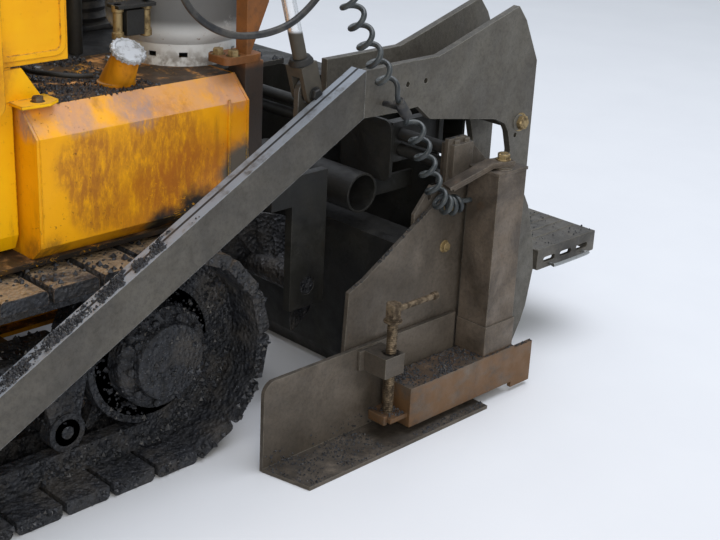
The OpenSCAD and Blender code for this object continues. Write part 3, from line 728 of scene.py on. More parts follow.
for side_name, side in SIDES.items():
    x = (SEAT_X * side - SEAT_HALF, SEAT_X * side + SEAT_HALF)
    pads = {
        "seat_cushion_": ((x[0], SEAT_FRONT, SEAT_Z + 0.0003), (x[1], SEAT_BACK - 0.005, SEAT_Z + 0.085)),
        "seat_back_": (
            (x[0] + 0.005, SEAT_BACK, SEAT_Z + 0.09), (x[1] - 0.005, SEAT_BACK + 0.0617, SEAT_Z + 0.42)
        ),
    }
    for pad_name, (low, high) in pads.items():
        pad = cushion(pad_name + side_name, low, high)
        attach(pad, "tractor")
        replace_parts(pad, "seats")
    low, high = pads["seat_cushion_"]
    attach(piping("seat_piping_" + side_name, low, high, SEAT_Z + 0.058), "tractor")


# End gate: the height screw's thread, head and handle
SCREW_X, SCREW_Y, SCREW_LOW, SCREW_R, SCREW_LEN = 1.300, 1.216, 0.068, 0.014, 0.290
THREAD_PITCH, THREAD_DEPTH = 0.006, 0.0022


def thread(bm, x, y, low, high):
    """A rod with a helical thread, its crests at the screw's own radius."""
    sides, steps = 24, 6
    count = round((high - low) / THREAD_PITCH * steps)
    rings = []
    for i in range(count + 1):
        z = low + (high - low) * i / count
        ring = []
        for k in range(sides):
            phase = (z / THREAD_PITCH - k / sides) % 1
            r = SCREW_R - THREAD_DEPTH * abs(2 * phase - 1)
            a = math.tau * k / sides
            ring.append(bm.verts.new((x + r * math.cos(a), y + r * math.sin(a), z)))
        rings.append(ring)
    close_rings(bm, rings)


def height_screw(side_name, side):
    bm = bmesh.new()
    x, top = SCREW_X * side, SCREW_LOW + SCREW_LEN
    thread(bm, x, SCREW_Y, SCREW_LOW, top - 0.036)
    lathe(bm, [(0.0225, 0), (0.024, 0.001), (0.024, 0.004), (0.0225, 0.005)], 40, (x, SCREW_Y, top - 0.038))
    lathe(bm, [(0.019, 0), (0.020, 0.001), (0.020, 0.004), (0.019, 0.005)], 40, (x, SCREW_Y, top - 0.033))
    hexagon = [(0.0205, 0), (0.022, 0.002), (0.022, 0.036), (0.019, 0.040)]
    lathe(bm, hexagon, 6, (x, SCREW_Y, top - 0.028), spin=12)
    reaches = ((0.010, 0.008), (0.06, 0.0075), (0.15, 0.008))
    lever = [(x, SCREW_Y + out, top - below) for out, below in reaches]
    tube(bm, smooth_line(lever, 0.012), 0.008, 14)
    grip = [(0.0085, 0), (0.0108, 0.001), (0.0108, 0.014), (0.009, 0.016)]
    lathe(bm, grip, 20, (x, SCREW_Y + 0.145, top - 0.008), (0, 1, 0))
    return piece("height_screw_" + side_name, f"extension_{side_name}_body", FINISHES["screw_steel"], bm, 30)


for side_name, side in SIDES.items():
    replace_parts(height_screw(side_name, side), "gate_screw_" + side_name)


# Bolts: for each body, rows of place, the way the head looks, width across flats
ACROSS, UP = (1, 0, 0), (0, 0, 1)
GATE_FACE, ARM_FACE, DECK_FACE = 1.222, 1.194, 0.9221
SCREED_BOLTS = [((ARM_FACE, 1.796, 0.717), ACROSS, 0.036)]
GATE_BOLTS = [((GATE_FACE, y, z), ACROSS, 0.024) for y, z in ((1.487, 0.542), (1.483, 0.436))]
DECK_BOLTS = [((0.72, 0.43, DECK_FACE), UP, 0.022)]
DECK_BOLTS += [((0.70, y, DECK_FACE), UP, 0.018) for y in (0.60, 0.80)]


def bolts(name, body, look, rows, side):
    bm = bmesh.new()
    for place, way, across in rows:
        bolt(bm, both(place, side), both(way, side), across, across * 0.42, spin=(place[1] * 900) % 60)
    return piece(name, body, look, bm, 25)


for side_name, side in SIDES.items():
    bolts("side_frame_bolts_" + side_name, "screed", FINISHES["brass"], SCREED_BOLTS, side)
    bolts("gate_bolts_" + side_name, f"extension_{side_name}_body", FINISHES["brass"], GATE_BOLTS, side)
    bolts("deck_bolts_" + side_name, "tractor", FINISHES["zinc"], DECK_BOLTS, side)


# Forms that the solids leave plain: drawn on the machine's left, in millimetres
def slab(bm, way, low, high, outline, holes=(), at=None):
    """An outline with holes, extruded along axis way; it is drawn in the other two axes."""
    loops = [[Vector((a, b, 0)) for a, b in loop] for loop in (outline, *holes)]
    flat = [p for loop in loops for p in loop]
    at = at or Matrix()
    ends = []
    for w in (low, high):
        places = [[p.x, p.y] for p in flat]
        for place in places:
            place.insert("xyz".index(way), w)
        ends.append([bm.verts.new(at @ Vector(place)) for place in places])
    made = [bm.faces.new([end[i] for i in corner]) for corner in tessellate_polygon(loops) for end in ends]
    first = 0
    for loop in loops:
        for k in range(len(loop)):
            i, j = first + k, first + (k + 1) % len(loop)
            made.append(bm.faces.new((ends[0][i], ends[0][j], ends[1][j], ends[1][i])))
        first += len(loop)
    bmesh.ops.recalc_face_normals(bm, faces=made)


def arc(centre, radius, start=0.0, turn=360.0, count=48):
    """Points of an arc; a whole circle doesn't repeat its first one."""
    steps = count if turn == 360 else count + 1
    angles = [math.radians(start + turn * k / count) for k in range(steps)]
    return [(centre[0] + radius * math.cos(a), centre[1] + radius * math.sin(a)) for a in angles]


def round_box(low, high, radius, count=6):
    """Outline of a rectangle with round corners."""
    corners = ((high[0], high[1], 0), (low[0], high[1], 90), (low[0], low[1], 180), (high[0], low[1], 270))
    points = []
    for x, y, start in corners:
        centre = (x - math.copysign(radius, x - low[0] - 1), y - math.copysign(radius, y - low[1] - 1))
        points += arc(centre, radius, start, 90, count)
    return points


def bar(bm, way, low, high, centre, radius, sides=48, bore=0.0):
    """A round bar or tube along axis way."""
    holes = [arc(centre, bore, count=sides)] if bore else []
    slab(bm, way, low, high, arc(centre, radius, count=sides), holes)


def dressed(name, body, look, bm, side=1, node=None, sharp=35.0):
    """Puts a piece drawn in millimetres on a body, mirrored for the right, in place of a node if named."""
    bmesh.ops.scale(bm, vec=(0.001 * side, 0.001, 0.001), verts=bm.verts)
    if side < 0:
        bmesh.ops.reverse_faces(bm, faces=bm.faces)
    obj = piece(name, body, FINISHES[look], bm, sharp)
    if node:
        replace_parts(obj, node)
    return obj


HEX_HEAD = [(11, 0), (11, 9), (9, 11)]

# Tracks and their frames
TRACK_R, SPROCKET_Y, IDLER_Y, SHOE_T, SHOE_COUNT, SHOE_GAP, CHAIN_R = 283, 695, -1055, 34, 41, 12, 183
TRACK_IN, TRACK_OUT, TRACK_MID, CHAIN_HALF, RAIL_W = 740, 1100, 920, 80, 40
TOW_PIN = (-625, 250)
BASE = SPROCKET_Y - IDLER_Y
SHOE_PITCH = (2 * BASE + math.tau * TRACK_R) / SHOE_COUNT


def track_place(s):
    """Place and turn of the track's outer face at distance s round it."""
    half, r = math.pi * TRACK_R, TRACK_R
    if s < BASE:
        return IDLER_Y + s, 2 * r, 0.0
    if s < BASE + half:
        a = math.pi * (s - BASE) / half
        return SPROCKET_Y + r * math.sin(a), r + r * math.cos(a), -a
    if s < 2 * BASE + half:
        return SPROCKET_Y - (s - BASE - half), 0, math.pi
    a = math.pi * (s - 2 * BASE - half) / half
    return IDLER_Y - r * math.sin(a), r - r * math.cos(a), math.pi - a


def stadium(r):
    return arc((SPROCKET_Y, TRACK_R), r, -90, 180, 40) + arc((IDLER_Y, TRACK_R), r, 90, 180, 40)


def track(side_name, side):
    bm = bmesh.new()
    rng = random.Random(5)
    half = (SHOE_PITCH - SHOE_GAP) / 2
    for i in range(SHOE_COUNT):
        y, z, turn = track_place((i + 0.5) * SHOE_PITCH)
        worn = rng.uniform(0.5, 3.5)
        shape = [
            (-half, -SHOE_T), (half, -SHOE_T), (half, -10), (half - 4, -3), (half - 11, 0),
            (half * 0.3, -worn * 0.4), (-half * 0.3, -worn * 0.6),
            (11 - half, 0), (4 - half, -3), (-half, -10),
        ]
        cos, sin = math.cos(turn), math.sin(turn)
        turned = [(y + a * cos - b * sin, z + a * sin + b * cos) for a, b in shape]
        turned = [(a, min(max(b, 0), 2 * TRACK_R)) for a, b in turned]
        slab(bm, "x", TRACK_IN, TRACK_OUT, turned)
    for x in (TRACK_MID - CHAIN_HALF, TRACK_MID + CHAIN_HALF - RAIL_W):
        slab(bm, "x", x, x + RAIL_W, stadium(TRACK_R - SHOE_T + 1), [stadium(CHAIN_R)])
    dressed("track_shoes_" + side_name, "tractor", "track_steel", bm, side, "track_" + side_name)


def wheel(bm, y, z, r, core_r):
    for x in (TRACK_MID - CHAIN_HALF, TRACK_MID + CHAIN_HALF - RAIL_W):
        bar(bm, "x", x, x + RAIL_W, (y, z), r)
    bar(bm, "x", TRACK_MID - CHAIN_HALF, TRACK_MID + CHAIN_HALF, (y, z), core_r)


def track_frame(side_name, side):
    bm = bmesh.new()
    roller_r, low, high, inner, outer = 48, TRACK_R - 60, TRACK_R + 70, TRACK_MID - 60, TRACK_MID + 60
    wheel_r, tooth_r, teeth = CHAIN_R - 0.3, TRACK_R - SHOE_T - 14, 14
    wheel(bm, SPROCKET_Y, TRACK_R, wheel_r, 0.9 * wheel_r)
    rim = []
    for k in range(teeth):
        for spread, r in ((-6.5, wheel_r - 4), (-2.4, tooth_r), (2.4, tooth_r), (6.5, wheel_r - 4)):
            a = math.radians(360 * k / teeth + spread)
            rim.append((SPROCKET_Y + r * math.cos(a), TRACK_R + r * math.sin(a)))
    slab(bm, "x", TRACK_MID - 15, TRACK_MID + 15, rim)
    wheel(bm, IDLER_Y, TRACK_R, wheel_r, 0.8 * wheel_r)
    bar(bm, "x", TRACK_MID - 20, TRACK_MID + 20, (IDLER_Y, TRACK_R), tooth_r - 10)
    for y in (SPROCKET_Y, IDLER_Y):
        hub = 0.7 * wheel_r
        dome = [(hub, 0), (hub, 270), (hub - 12, 282), (hub - 30, 286), (hub - 34, 306), (hub - 60, 310)]
        lathe(bm, dome, 48, (TRACK_IN + 30, y, TRACK_R), ACROSS)
        for dy, dz in circle(hub - 21, 10):
            lathe(bm, HEX_HEAD, 6, (TRACK_OUT - 44, y + dy, TRACK_R + dz), ACROSS)
    brick(bm, (inner, IDLER_Y + CHAIN_R + 20, low), (outer, SPROCKET_Y - CHAIN_R - 20, high), 8)
    for x in (inner, outer - 14):
        brick(bm, (x, IDLER_Y, TRACK_R - 40), (x + 14, SPROCKET_Y, TRACK_R + 40))
    roller_z = TRACK_R - CHAIN_R + roller_r + 0.3
    first, last = IDLER_Y + CHAIN_R + 60, SPROCKET_Y - CHAIN_R - 60
    for i in range(5):
        y = first + (last - first) * i / 4
        wheel(bm, y, roller_z, roller_r, 0.7 * roller_r)
        ear = [(y - 75, high - 30), *arc((y, roller_z), 32, 190, 160, 12), (y + 75, high - 30)]
        for x in (inner - 14, outer):
            slab(bm, "x", x, x + 14, ear)
        bar(bm, "x", inner - 22, outer + 22, (y, roller_z), 16, 24)
    for y in (IDLER_Y + 460, SPROCKET_Y - 575):
        wheel(bm, y, TRACK_R + CHAIN_R - 42.3, 42, 30)
        brick(bm, (TRACK_MID - 12, y - 30, high - 1), (TRACK_MID + 12, y + 30, TRACK_R + CHAIN_R - 42))
    bar(bm, "x", outer, 1136, TOW_PIN, 60)
    bar(bm, "x", outer, 1206, TOW_PIN, 25)
    bar(bm, "x", 1200, 1212, TOW_PIN, 35)
    stands_for = "track_frame_" + side_name
    dressed("track_running_gear_" + side_name, "tractor", "tarred_steel", bm, side, stands_for)


# Fuel filler, propane cylinder and lift posts
def filler(side_name, side):
    bm = bmesh.new()
    at, lean = (897, 680, 922), (math.sin(math.radians(30)), 0, math.cos(math.radians(30)))
    lathe(bm, [(44, 0), (44, 6), (41, 8)], 48, at)
    lathe(bm, [(40, -8), (38, 20), (30, 92)], 48, at, lean)
    dressed("filler_neck_" + side_name, "tractor", "rusty_paint", bm, side, "fuel_fillers")
    bm = bmesh.new()
    cap = Vector(at) + 90 * Vector(lean)
    lathe(bm, [(37, 0), (40, 2), (40, 9), (37, 12), (32, 12.5), (30, 11), (1, 11)], 48, cap, lean)
    for x, y in circle(38.5, 18):
        lathe(bm, [(3.5, 0), (3.5, 8), (2.5, 10)], 12, frame_at(cap, lean) @ Vector((x, y, 1)), lean)
    dressed("filler_cap_" + side_name, "tractor", "cap_silver", bm, side)


def propane():
    bm = bmesh.new()
    x, y, z = 735, 985, 922
    for low, high in ((0, 22), (34, 60)):
        bar(bm, "z", z + low, z + high, (x, y), 146, 96, 140)
    for k in range(12):
        outer, inner = arc((x, y), 146, 30 * k, 22, 6), arc((x, y), 140, 30 * k, 22, 6)
        slab(bm, "z", z + 21.5, z + 34.5, outer + inner[::-1])
    profile = [
        (100, 34), (150, 55), (168, 74), (178, 90), (180, 105), (180, 318), (181.5, 320), (181.5, 330),
        (180, 332), (180, 430), (170, 460), (140, 495), (100, 510), (60, 515),
    ]
    lathe(bm, profile, 96, (x, y, z))
    dressed("propane_body", "tractor", "cylinder_white", bm, 1, "propane_cylinder", 50)
    bm = bmesh.new()
    ring = arc((x, y), 80, 40, 280, 36) + arc((x, y), 75, 320, -280, 36)
    slab(bm, "z", z + 500, z + 616, ring)
    dressed("propane_collar", "tractor", "cylinder_white", bm)
    bm = bmesh.new()
    stem = [(16, 510), (16, 570), (22, 572), (22, 582), (12, 584), (12, 592), (28, 594), (30, 600), (28, 606)]
    lathe(bm, stem, 32, (x, y, z))
    lathe(bm, [(10, 0), (10, 40), (14, 41), (14, 54)], 24, (x, y, z + 545), ACROSS)
    dressed("propane_valve", "tractor", "brass", bm)


def posts(side_name, side):
    bm = bmesh.new()
    brick(bm, (935, 976, 590), (1000, 1032, 951), 3)
    slab(bm, "z", 950, 968, round_box((925, 916), (1002, 1029), 15))
    slab(bm, "x", 960, 1000, [(979, 967), (989, 967), (1045, 1088), (1045, 1690), (979, 1690)])
    slab(bm, "x", 1080, 1092, [(813, 1612), (893, 1612), (1045, 1620), (1045, 1690), (813, 1690)])
    brick(bm, (999, 979, 1620), (1081, 1045, 1680))
    bar(bm, "x", 1092, 1140, (853, 1638), 14)
    bar(bm, "x", 1130, 1140, (853, 1638), 22)
    dressed("lift_post_" + side_name, "tractor", "brown_post", bm, side, "lift_posts")
    bm = bmesh.new()
    for place in ((948, 935), (985, 950)):
        bolt(bm, (*place, 968), UP, 24, 14)
    dressed("lift_post_bolts_" + side_name, "tractor", "brass", bm, side)


# Screed: walkway, rail guards, bosses, and the gate's link bar, clamp and nut
def walkway():
    for side_name, side in SIDES.items():
        bm = bmesh.new()
        slots = [round_box((y, 258), (y + 55, 274), 6) for y in (1975, 2055, 2135)]
        slab(bm, "x", 1178, 1190, round_box((1945, 240), (2225, 304), 4), slots)
        for low, high in ((1945, 1957), (2213, 2225)):
            brick(bm, (0, low, 240), (1178, high, 296), 1)
        slab(bm, "x", 0, 1178, [(1945, 296), (2225, 296), (2225, 302), (1945, 302)])
        for k in range(1, 26):
            x = 1178 * (k - 0.5) / 26
            slab(bm, "x", x, x + 6, [(1952, 301.5), (2218, 301.5), (2218, 304), (1952, 304)])
        for x in (300, 900):
            brick(bm, (x - 25, 1900, 240), (x + 25, 1945, 290), 3)
        dressed("walkway_half_" + side_name, "screed", "tread_steel", bm, side, "walkway")
        bm = bmesh.new()
        corners = [(1189, 2005), (1204, 2005), (1212, 2013), (1212, 2157), (1204, 2165), (1189, 2165)]
        tube(bm, smooth_line([(x, y, 250) for x, y in corners], 4), 5.5, 12)
        dressed("walkway_loop_" + side_name, "screed", "zinc", bm, side)


LINK_BOLT, LINK_TURN = (1310, 1590, 669), 252


def gate_link(side_name, side):
    bm = bmesh.new()
    at = Matrix.Translation(LINK_BOLT) @ Matrix.Rotation(math.radians(LINK_TURN), 4, "Z")
    dip = math.radians(23)
    for low, thick, reach, half in ((0, 8, 135, 20), (-8, 8.5, 123, 18)):
        tip = (40 + reach * math.cos(dip), low - reach * math.sin(dip))
        bend = (40 + thick * math.tan(dip / 2), low + thick)
        far = (tip[0] + thick * math.sin(dip), tip[1] + thick * math.cos(dip))
        leaf = [(-24, low), (40, low), tip, far, bend, (-24, low + thick)]
        slab(bm, "y", -half, half, leaf, at=at)
    lathe(bm, [(26, -15), (26, -8)], 32, LINK_BOLT)
    brick(bm, (1240, 1536, 140), (1344, 1656, 226), 2)
    brick(bm, (1240, 1537, 647), (1343, 1655, 655.5), 1.5)
    brick(bm, (1272, 1174, 50), (1328, 1186, 75), 1)
    dressed("gate_link_" + side_name, f"extension_{side_name}_body", "post_steel", bm, side)
    bm = bmesh.new()
    lathe(bm, [(19, 0), (19, 3), (17, 4)], 32, (LINK_BOLT[0], LINK_BOLT[1], LINK_BOLT[2] + 7.5))
    lathe(bm, [(17, 0), (17, 13), (14, 15)], 6, (LINK_BOLT[0], LINK_BOLT[1], LINK_BOLT[2] + 11), spin=20)
    dressed("gate_link_bolt_" + side_name, f"extension_{side_name}_body", "brass", bm, side)
    bm = bmesh.new()
    brick(bm, (1190, 1480, 625), (1236, 1555, 715), 3)
    bracket = [(1370, 500), (1450, 515), (1470, 612), (1430, 612), (1370, 545)]
    slab(bm, "x", 1200, 1210, bracket, [arc((1425, 580), 7, count=24)])
    brick(bm, (1200, 1430, 604), (1228, 1470, 612), 1)
    for y in (1500, 1538):
        lathe(bm, HEX_HEAD, 6, (1222, y, 715))
    dressed("gate_clamp_" + side_name, f"extension_{side_name}_body", "gate_steel", bm, side)
    bm = bmesh.new()
    bar(bm, "z", 180, 235, (1300, 1216), 24, 48, 14.3)
    brick(bm, (1240, 1156, 180), (1250, 1222, 235), 1.5)
    dressed("gate_nut_" + side_name, f"gate_ski_{side_name}", "gate_steel", bm, side)
    bm = bmesh.new()
    slab(bm, "y", 1457, 1466, round_box((845, 565), (1034, 735), 30))
    for x in (-350, 50, 450):
        slab(bm, "x", x + 345, x + 355, [(1648, 559), (1700, 559), (1740, 641), (1648, 641)])
    dressed("rail_guard_" + side_name, "screed", "dark_steel", bm, side)
    bm = bmesh.new()
    lathe(bm, [(22, 0), (22, 3), (20, 4)], 40, (1193.5, 1787, 718), ACROSS)
    dressed("side_frame_boss_" + side_name, "screed", "side_steel", bm, side)


LIFT_TOP, LIFT_FOOT = Vector((1110, 853, 1638)), Vector((1110, 1073, 890))


def lift_details(side_name, side):
    bm = bmesh.new()
    way = (LIFT_FOOT - LIFT_TOP).normalized()
    lathe(bm, [(44, 0), (44, 42), (40, 46)], 48, LIFT_TOP + 376 * way, way)
    for along in (80, 318):
        for turn in (90, 0):
            port = frame_at(LIFT_TOP + along * way, way, turn)
            slab(bm, "z", -14, 14, round_box((26, -16), (52, 16), 3), at=port)
    dressed("lift_barrel_collar_" + side_name, "barrel_" + side_name, "dark_steel", bm, side)
    bm = bmesh.new()
    lathe(bm, [(30, 0), (30, 4), (24, 14)], 48, LIFT_TOP + 703 * way, -way)
    bolt(bm, (1139, 1073, 890), ACROSS, 26, 12)
    dressed("lift_rod_collar_" + side_name, "rod_" + side_name, "dark_steel", bm, side)


for side_name, side in SIDES.items():
    track(side_name, side)
    track_frame(side_name, side)
    filler(side_name, side)
    posts(side_name, side)
    gate_link(side_name, side)
    lift_details(side_name, side)
propane()
walkway()


# Hood, cowls, frame, hopper, seats and controls: what the plain solids carry
DECK, COWL_TOP, COWL_OUT, COWL_FRONT, COWL_REAR, HOOD_REAR, HOOD_TOP = 922, 1010, 950, -540, 380, 520, 1330
BULKHEAD, SHELF, FRAME_OUT, HINGE, DOOR_OUT = -740, 590, 516, (534, 600), 1000


def hood_details(side_name, side):
    bm = bmesh.new()
    door = ((COWL_FRONT + 30, DECK), (COWL_REAR - 45, HOOD_TOP - 60))
    louvres = [round_box((COWL_FRONT + 80, z), (-150, z + 14), 4) for z in range(DECK + 80, DECK + 320, 30)]
    slab(bm, "x", COWL_OUT + 6, DOOR_OUT, round_box(*door, 25), louvres)
    slab(bm, "x", COWL_OUT - 1, COWL_OUT + 7, round_box((door[0][0], COWL_TOP + 2), door[1], 25), louvres[1:])
    panel = ((COWL_REAR - 37, COWL_TOP + 12), (HOOD_REAR - 8, HOOD_TOP - 60))
    slab(bm, "x", COWL_OUT - 1, COWL_OUT + 4, round_box(*panel, 25))
    inner = round_box((panel[0][0] + 12, panel[0][1] + 12), (panel[1][0] - 12, panel[1][1] - 12), 18)
    slab(bm, "x", COWL_OUT + 3, COWL_OUT + 7, round_box(*panel, 25), [inner])
    for y in (COWL_FRONT + 190, COWL_REAR - 160):
        brick(bm, (DOOR_OUT - 1, y, HOOD_TOP - 96), (DOOR_OUT + 5, y + 60, HOOD_TOP - 72), 2)
    dressed("hood_door_" + side_name, "hood", "frame_paint", bm, side)
    bm = bmesh.new()
    for y in (COWL_FRONT + 240, COWL_REAR - 170):
        grip = [(DOOR_OUT - 1, y, 985), (DOOR_OUT + 20, y, 985), (DOOR_OUT + 26, y + 8, 985)]
        grip += [(x, 2 * y + 90 - along, 985) for x, along, _ in grip[::-1]]
        tube(bm, smooth_line(grip, 5), 5, 12)
    for y in (COWL_REAR - 20, HOOD_REAR - 25):
        bolt(bm, (COWL_OUT + 4, y - 8, HOOD_TOP - 84), ACROSS, 16, 7)
    dressed("hood_handles_" + side_name, "hood", "dark_steel", bm, side)
    bm = bmesh.new()
    door = round_box((COWL_FRONT + 40, SHELF + 90), (COWL_REAR - 60, 902), 30)
    slab(bm, "x", COWL_OUT - 1, COWL_OUT + 4, door)
    slab(bm, "x", COWL_OUT - 6, COWL_OUT + 2, [(360, 936), (452, 936), (404, 1006), (360, 1006)])
    slab(bm, "z", 930, 937, [(930, 372), (1000, 372), (1004, 440), (985, 470), (930, 470)])
    dressed("cowl_door_" + side_name, "tractor", "frame_paint", bm, side)
    bm = bmesh.new()
    for y in (COWL_FRONT + 60, COWL_REAR - 85):
        for z in (790, 700):
            bolt(bm, (COWL_OUT + 4, y, z), ACROSS, 16, 7)
    bolt(bm, (976, 425, 937), UP, 22, 11)
    dressed("cowl_bolts_" + side_name, "tractor", "screw_steel", bm, side)


def exhaust():
    bm = bmesh.new()
    at = (-520, COWL_FRONT + 200, HOOD_TOP - 2)
    lathe(bm, [(52, 0), (52, 8), (42, 12), (38, 12), (38, 180), (34, 180), (34, 20)], 48, at)
    lathe(bm, [(41, 0), (41, 14)], 48, (at[0], at[1], at[2] + 70))
    dressed("exhaust_pipe", "hood", "dark_steel", bm)


def frame_details(side_name, side):
    bm = bmesh.new()
    under = SHELF - 12
    for y in (COWL_FRONT + 40, -120, 320, 1035):
        slab(bm, "y", y, y + 10, [(FRAME_OUT, under - 90), (FRAME_OUT, under), (728, under)])
    brick(bm, (FRAME_OUT, -1250, 200), (FRAME_OUT + 40, 840, 212), 1)
    web = [
        (BULKHEAD + 15, SHELF + 10), (BULKHEAD + 95, SHELF + 10), (BULKHEAD + 45, 945), (BULKHEAD + 15, 945),
    ]
    for x in (FRAME_OUT + 44, FRAME_OUT + 254, 1130):
        slab(bm, "x", x, x + 10, web)
    dressed("frame_brackets_" + side_name, "tractor", "hopper_paint", bm, side)
    bm = bmesh.new()
    brick(bm, (460, -2035, 451), (468, 960, 482), 1)
    for k in range(27):
        lathe(bm, [(9, 0), (9, 20)], 10, (439, -2000 + 110 * k, 460), ACROSS)
        brick(bm, (441, -2000 + 110 * k, 454), (447, -1930 + 110 * k, 468), 1)
    dressed("conveyor_chain_" + side_name, "tractor", "tarred_steel", bm, side)


def wing_details(side_name, side):
    bm = bmesh.new()
    x, z, ribs, length, rear = HINGE[0] + 700, HINGE[1] + 115, 4, 1275, BULKHEAD - 20
    rib = [(x - 4, z - 8), (x + 26, z + 60), (x + 34, z + 350), (x + 10, z + 350)]
    for k in range(ribs):
        y = rear - length + (k + 0.5) * length / ribs
        slab(bm, "y", y, y + 10, rib)
    rim = [(x + 3, z + 352), (x + 30, z + 352), (x + 30, z + 370), (x + 3, z + 370)]
    slab(bm, "y", rear - length, rear, rim)
    dressed("wing_ribs_" + side_name, "wing_" + side_name, "hopper_paint", bm, side)


def seat_stand(side_name, side):
    bm = bmesh.new()
    brick(bm, (190, 850, 922), (410, 1090, 936), 3)
    folds = [(96 if k % 2 else 82, 936 + 14 * k) for k in range(13)]
    lathe(bm, folds, 40, (300, 970, 0))
    brick(bm, (110, 832, 1105), (490, 1088, 1130), 4)
    arm = [(1030, 1112), (1146, 1112), (1149, 1330), (1110, 1330), (1092, 1200), (1030, 1150)]
    for x in (92, 500):
        slab(bm, "x", x, x + 8, arm)
        bar(bm, "x", x - 3, x + 11, (1112, 1150), 26, 32)
    dressed("seat_stand_" + side_name, "tractor", "plastic", bm, side)


CONSOLE_TILT = (0, 0.45, 0.89)


def tilted_ring(centre, radius):
    """A ring 8 mm above the console's sloping face."""
    turn = frame_at(centre, CONSOLE_TILT)
    ring = circle(radius, 40)
    return [turn @ Vector((x, y, 8)) for x, y in ring + ring[:1]]


def controls():
    bm = bmesh.new()
    for x in (-330, 330):
        for dx in (-60, 0, 60):
            lathe(bm, [(24, 0), (24, 3), (17, 16), (16, 22)], 24, (x + dx, 668, 1192), (0, 0.72, 0.69))
            tube(bm, [Vector((x + dx, 672, 1200)), Vector((x + dx, 690, 1245))], 4, 10)
            lathe(bm, [(5, 0), (11, 4), (12, 12), (8, 19), (2, 21)], 20, (x + dx, 689, 1243), (0, 0.37, 0.93))
    for x in range(-180, 181, 60):
        for z in (1215, 1238):
            lathe(bm, [(11, -4), (11, 5), (8, 7)], 20, (x, 648 - (z - 1215) * 2.0, z), CONSOLE_TILT)
    tube(bm, tilted_ring((0, 640, 1236), 60), 9, 14)
    lathe(bm, [(16, -40), (16, 0), (20, 2), (20, 12), (12, 16)], 24, (0, 640, 1232), CONSOLE_TILT)
    dressed("console_controls", "tractor", "plastic", bm)


def tank_details(side_name, side):
    bm = bmesh.new()
    outer = [(985, 590), (1023, 627), (1023, 868), (968, 923), (640, 923)]
    inner = [(640, 921), (967, 921), (1021, 867), (1021, 628), (984, 592)]
    for y in (396, 962):
        slab(bm, "y", y, y + 2.5, outer + inner)
    brick(bm, (1020, 905, 690), (1026, 912, 876), 1)
    dressed("tank_seams_" + side_name, "tractor", "tank_paint", bm, side)


def deck_lines():
    """The regulator at the gas cylinder: two brass pillars, a dark box between them, and its hoses."""
    bm = bmesh.new()
    pillar = [(9, 0), (14, 2), (14, 16), (11, 18), (11, 62), (14, 64), (14, 78), (9, 80)]
    for y in (712, 790):
        lathe(bm, pillar, 24, (862, y, 1012))
    dressed("regulator_brass", "tractor", "brass", bm)
    bm = bmesh.new()
    brick(bm, (846, 728, 1020), (876, 776, 1078))
    brick(bm, (838, 700, 1084), (884, 804, 1092))
    brick(bm, (800, 744, 1030), (850, 760, 1050))
    drop = [(862, 712, 1014), (862, 712, 975), (850, 735, 945), (800, 790, 934), (720, 800, 932)]
    tube(bm, smooth_line(drop, 6), 7, 14)
    deck_line = [(700, 560, 934), (760, 545, 940), (830, 560, 946), (858, 600, 942), (862, 640, 938)]
    tube(bm, smooth_line(deck_line, 6), 6, 12)
    dressed("regulator_box", "tractor", "dark_steel", bm)


for side_name, side in SIDES.items():
    hood_details(side_name, side)
    frame_details(side_name, side)
    wing_details(side_name, side)
    seat_stand(side_name, side)
    tank_details(side_name, side)
exhaust()
controls()
deck_lines()


# Asphalt crumbs: small broken stones strewn on chosen faces of the CAD nodes
CRUMB_CORNERS = [Vector(c) for c in ((1, 0, 0), (0, 1, 0), (-1, 0, 0), (0, -1, 0), (0, 0, 1), (0, 0, -0.6))]
CRUMB_FACES = [(0, 1, 4), (1, 2, 4), (2, 3, 4), (3, 0, 4), (1, 0, 5), (2, 1, 5), (3, 2, 5), (0, 3, 5)]


# Meshes by name: the CAD nodes, and the pieces made so far
shapes = {name: obj.data for name, obj in nodes.items()}
shapes.update({obj.name: obj.data for obj in scene.collection.all_objects if obj.type == "MESH"})


def triangles_of(node_name, wanted):
    """Corners, area and normal of a node's triangles whose normal is wanted."""
    mesh = shapes[node_name]
    found = []
    for face in mesh.polygons:
        if wanted(face.normal):
            corners = [mesh.vertices[i].co for i in face.vertices]
            for b, c in zip(corners[1:], corners[2:]):
                area = (b - corners[0]).cross(c - corners[0]).length / 2
                found.append((corners[0], b, c, area, face.normal.copy()))
    return found


def strew(name, body, look, sources, size, seed, clump=0.06):
    """sources: rows of node, count, test of a face's normal, test of a place. clump: size of heaps."""
    rng = random.Random(seed)
    points, faces = [], []
    for node_name, count, wanted, inside in sources:
        found = triangles_of(node_name, wanted)
        weights = [row[3] for row in found]
        for a, b, c, _, normal in rng.choices(found, weights, k=count):
            s, t = rng.random(), rng.random()
            if s + t > 1:
                s, t = 1 - s, 1 - t
            place = a + s * (b - a) + t * (c - a)
            dense = 0.5 + 0.9 * noise.noise(place / clump) + 0.4 * noise.noise(place / clump * 3.1)
            if rng.random() > dense or not inside(place):
                continue
            reach = size[0] + (size[1] - size[0]) * rng.random() ** 3
            turn = frame_at(place + normal * reach * 0.2, normal, rng.uniform(0, 360))
            stone = [turn @ (corner * reach * rng.uniform(0.6, 1.15)) for corner in CRUMB_CORNERS]
            if any(not low < c < high for p in stone for low, c, high in zip(cad_low, p, cad_high)):
                continue
            faces += [tuple(len(points) + i for i in f) for f in CRUMB_FACES]
            points += stone
    mesh = bpy.data.meshes.new(name)
    mesh.from_pydata(points, [], faces)
    mesh.materials.append(look)
    obj = bpy.data.objects.new(name, mesh)
    scene.collection.objects.link(obj)
    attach(obj, body)
    return obj


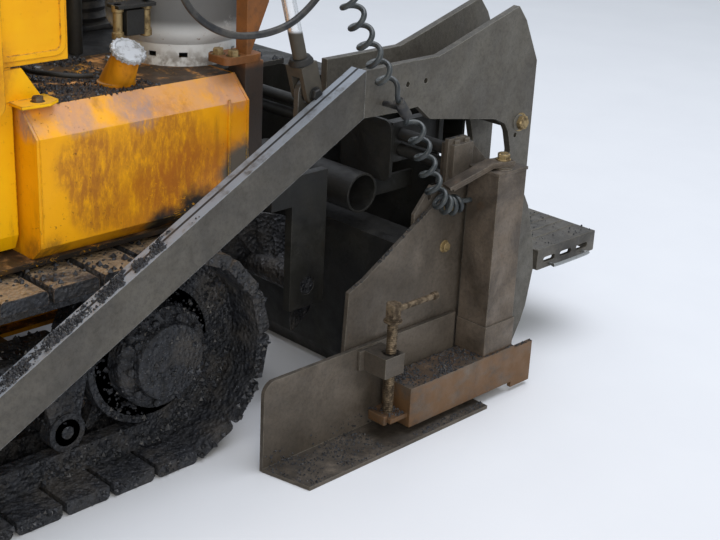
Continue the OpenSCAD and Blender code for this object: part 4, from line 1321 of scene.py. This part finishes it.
def crumb_look():
    look = Look("asphalt_crumbs")
    tone = look.mix(look.patches(0.35, 0.65, 0.02, 5), "141518", "2b2d32")
    tone = look.mix(look.patches(0.62, 0.7, 0.006, 2), tone, "5d5a55")
    return look.finish(tone, look.math("ADD", look.times(look.noise(0.01), 0.4), 0.25))


CRUMBS = crumb_look()
fine, middling, coarse = (0.0012, 0.0045), (0.0018, 0.0065), (0.003, 0.011)


def crumb_line(p):
    """Height up to which crumbs lie on the tow arm at a place."""
    return 0.62 + 0.12 * noise.noise(p / 0.05)


def under_link(p):
    """True below the gate's link, where crumbs would touch it when the ski rises."""
    return 1.238 < abs(p.x) < 1.352 and 1.16 < p.y < 1.69


def level_face(normal):
    return normal.z > 0.5


def outer_face(side):
    return lambda normal: normal.x * side > 0.6


for side_name, side in SIDES.items():
    strew("crumbs_on_arm_" + side_name, "screed", CRUMBS, [
        (
            f"tow_arm_{side_name}", 22000, level_face,
            lambda p: p.z < crumb_line(p) and 1.150 < abs(p.x) < 1.188,
        ),
    ], middling, 11 + side)
    strew("crumbs_on_gate_" + side_name, f"extension_{side_name}_body", CRUMBS, [
        (f"gate_post_{side_name}", 5000, level_face, lambda p: p.z < 0.4),
        (f"end_plate_{side_name}", 500, level_face, lambda p: True),
    ], fine, 31 + side)
    strew("crumbs_on_ski_" + side_name, f"gate_ski_{side_name}", CRUMBS, [
        (f"ski_{side_name}", 5000, level_face, lambda p: p.z < 0.1 and not under_link(p)),
        (f"ski_{side_name}", 2500, outer_face(side), lambda p: p.z < 0.05),
    ], fine, 51 + side)
    strew("crumbs_on_track_" + side_name, "tractor", CRUMBS, [
        (f"track_shoes_{side_name}", 9000, level_face, lambda p: p.z > 0.4),
        (f"track_shoes_{side_name}", 14000, outer_face(side), lambda p: p.z < 0.4 or p.y > 0.6),
        (f"track_running_gear_{side_name}", 9000, outer_face(side), lambda p: p.y > 0.2),
        (f"track_running_gear_{side_name}", 4000, level_face, lambda p: True),
    ], coarse, 71 + side, 0.09)
strew("crumbs_on_deck", "tractor", CRUMBS, [
    ("deck", 6000, level_face, lambda p: abs(p.x) > 0.62),
    ("side_tank_left", 9000, level_face, lambda p: p.z > 0.921 and p.y < 0.75),
    ("side_tank_right", 9000, level_face, lambda p: p.z > 0.921 and p.y < 0.75),
    ("hopper_base", 2500, level_face, lambda p: True), ("conveyor", 9000, level_face, lambda p: True),
], middling, 91)
strew("crumbs_on_walkway", "screed", CRUMBS, [
    ("walkway", 3000, level_face, lambda p: True), ("main_screed", 6000, level_face, lambda p: p.z < 0.5),
], fine, 95)
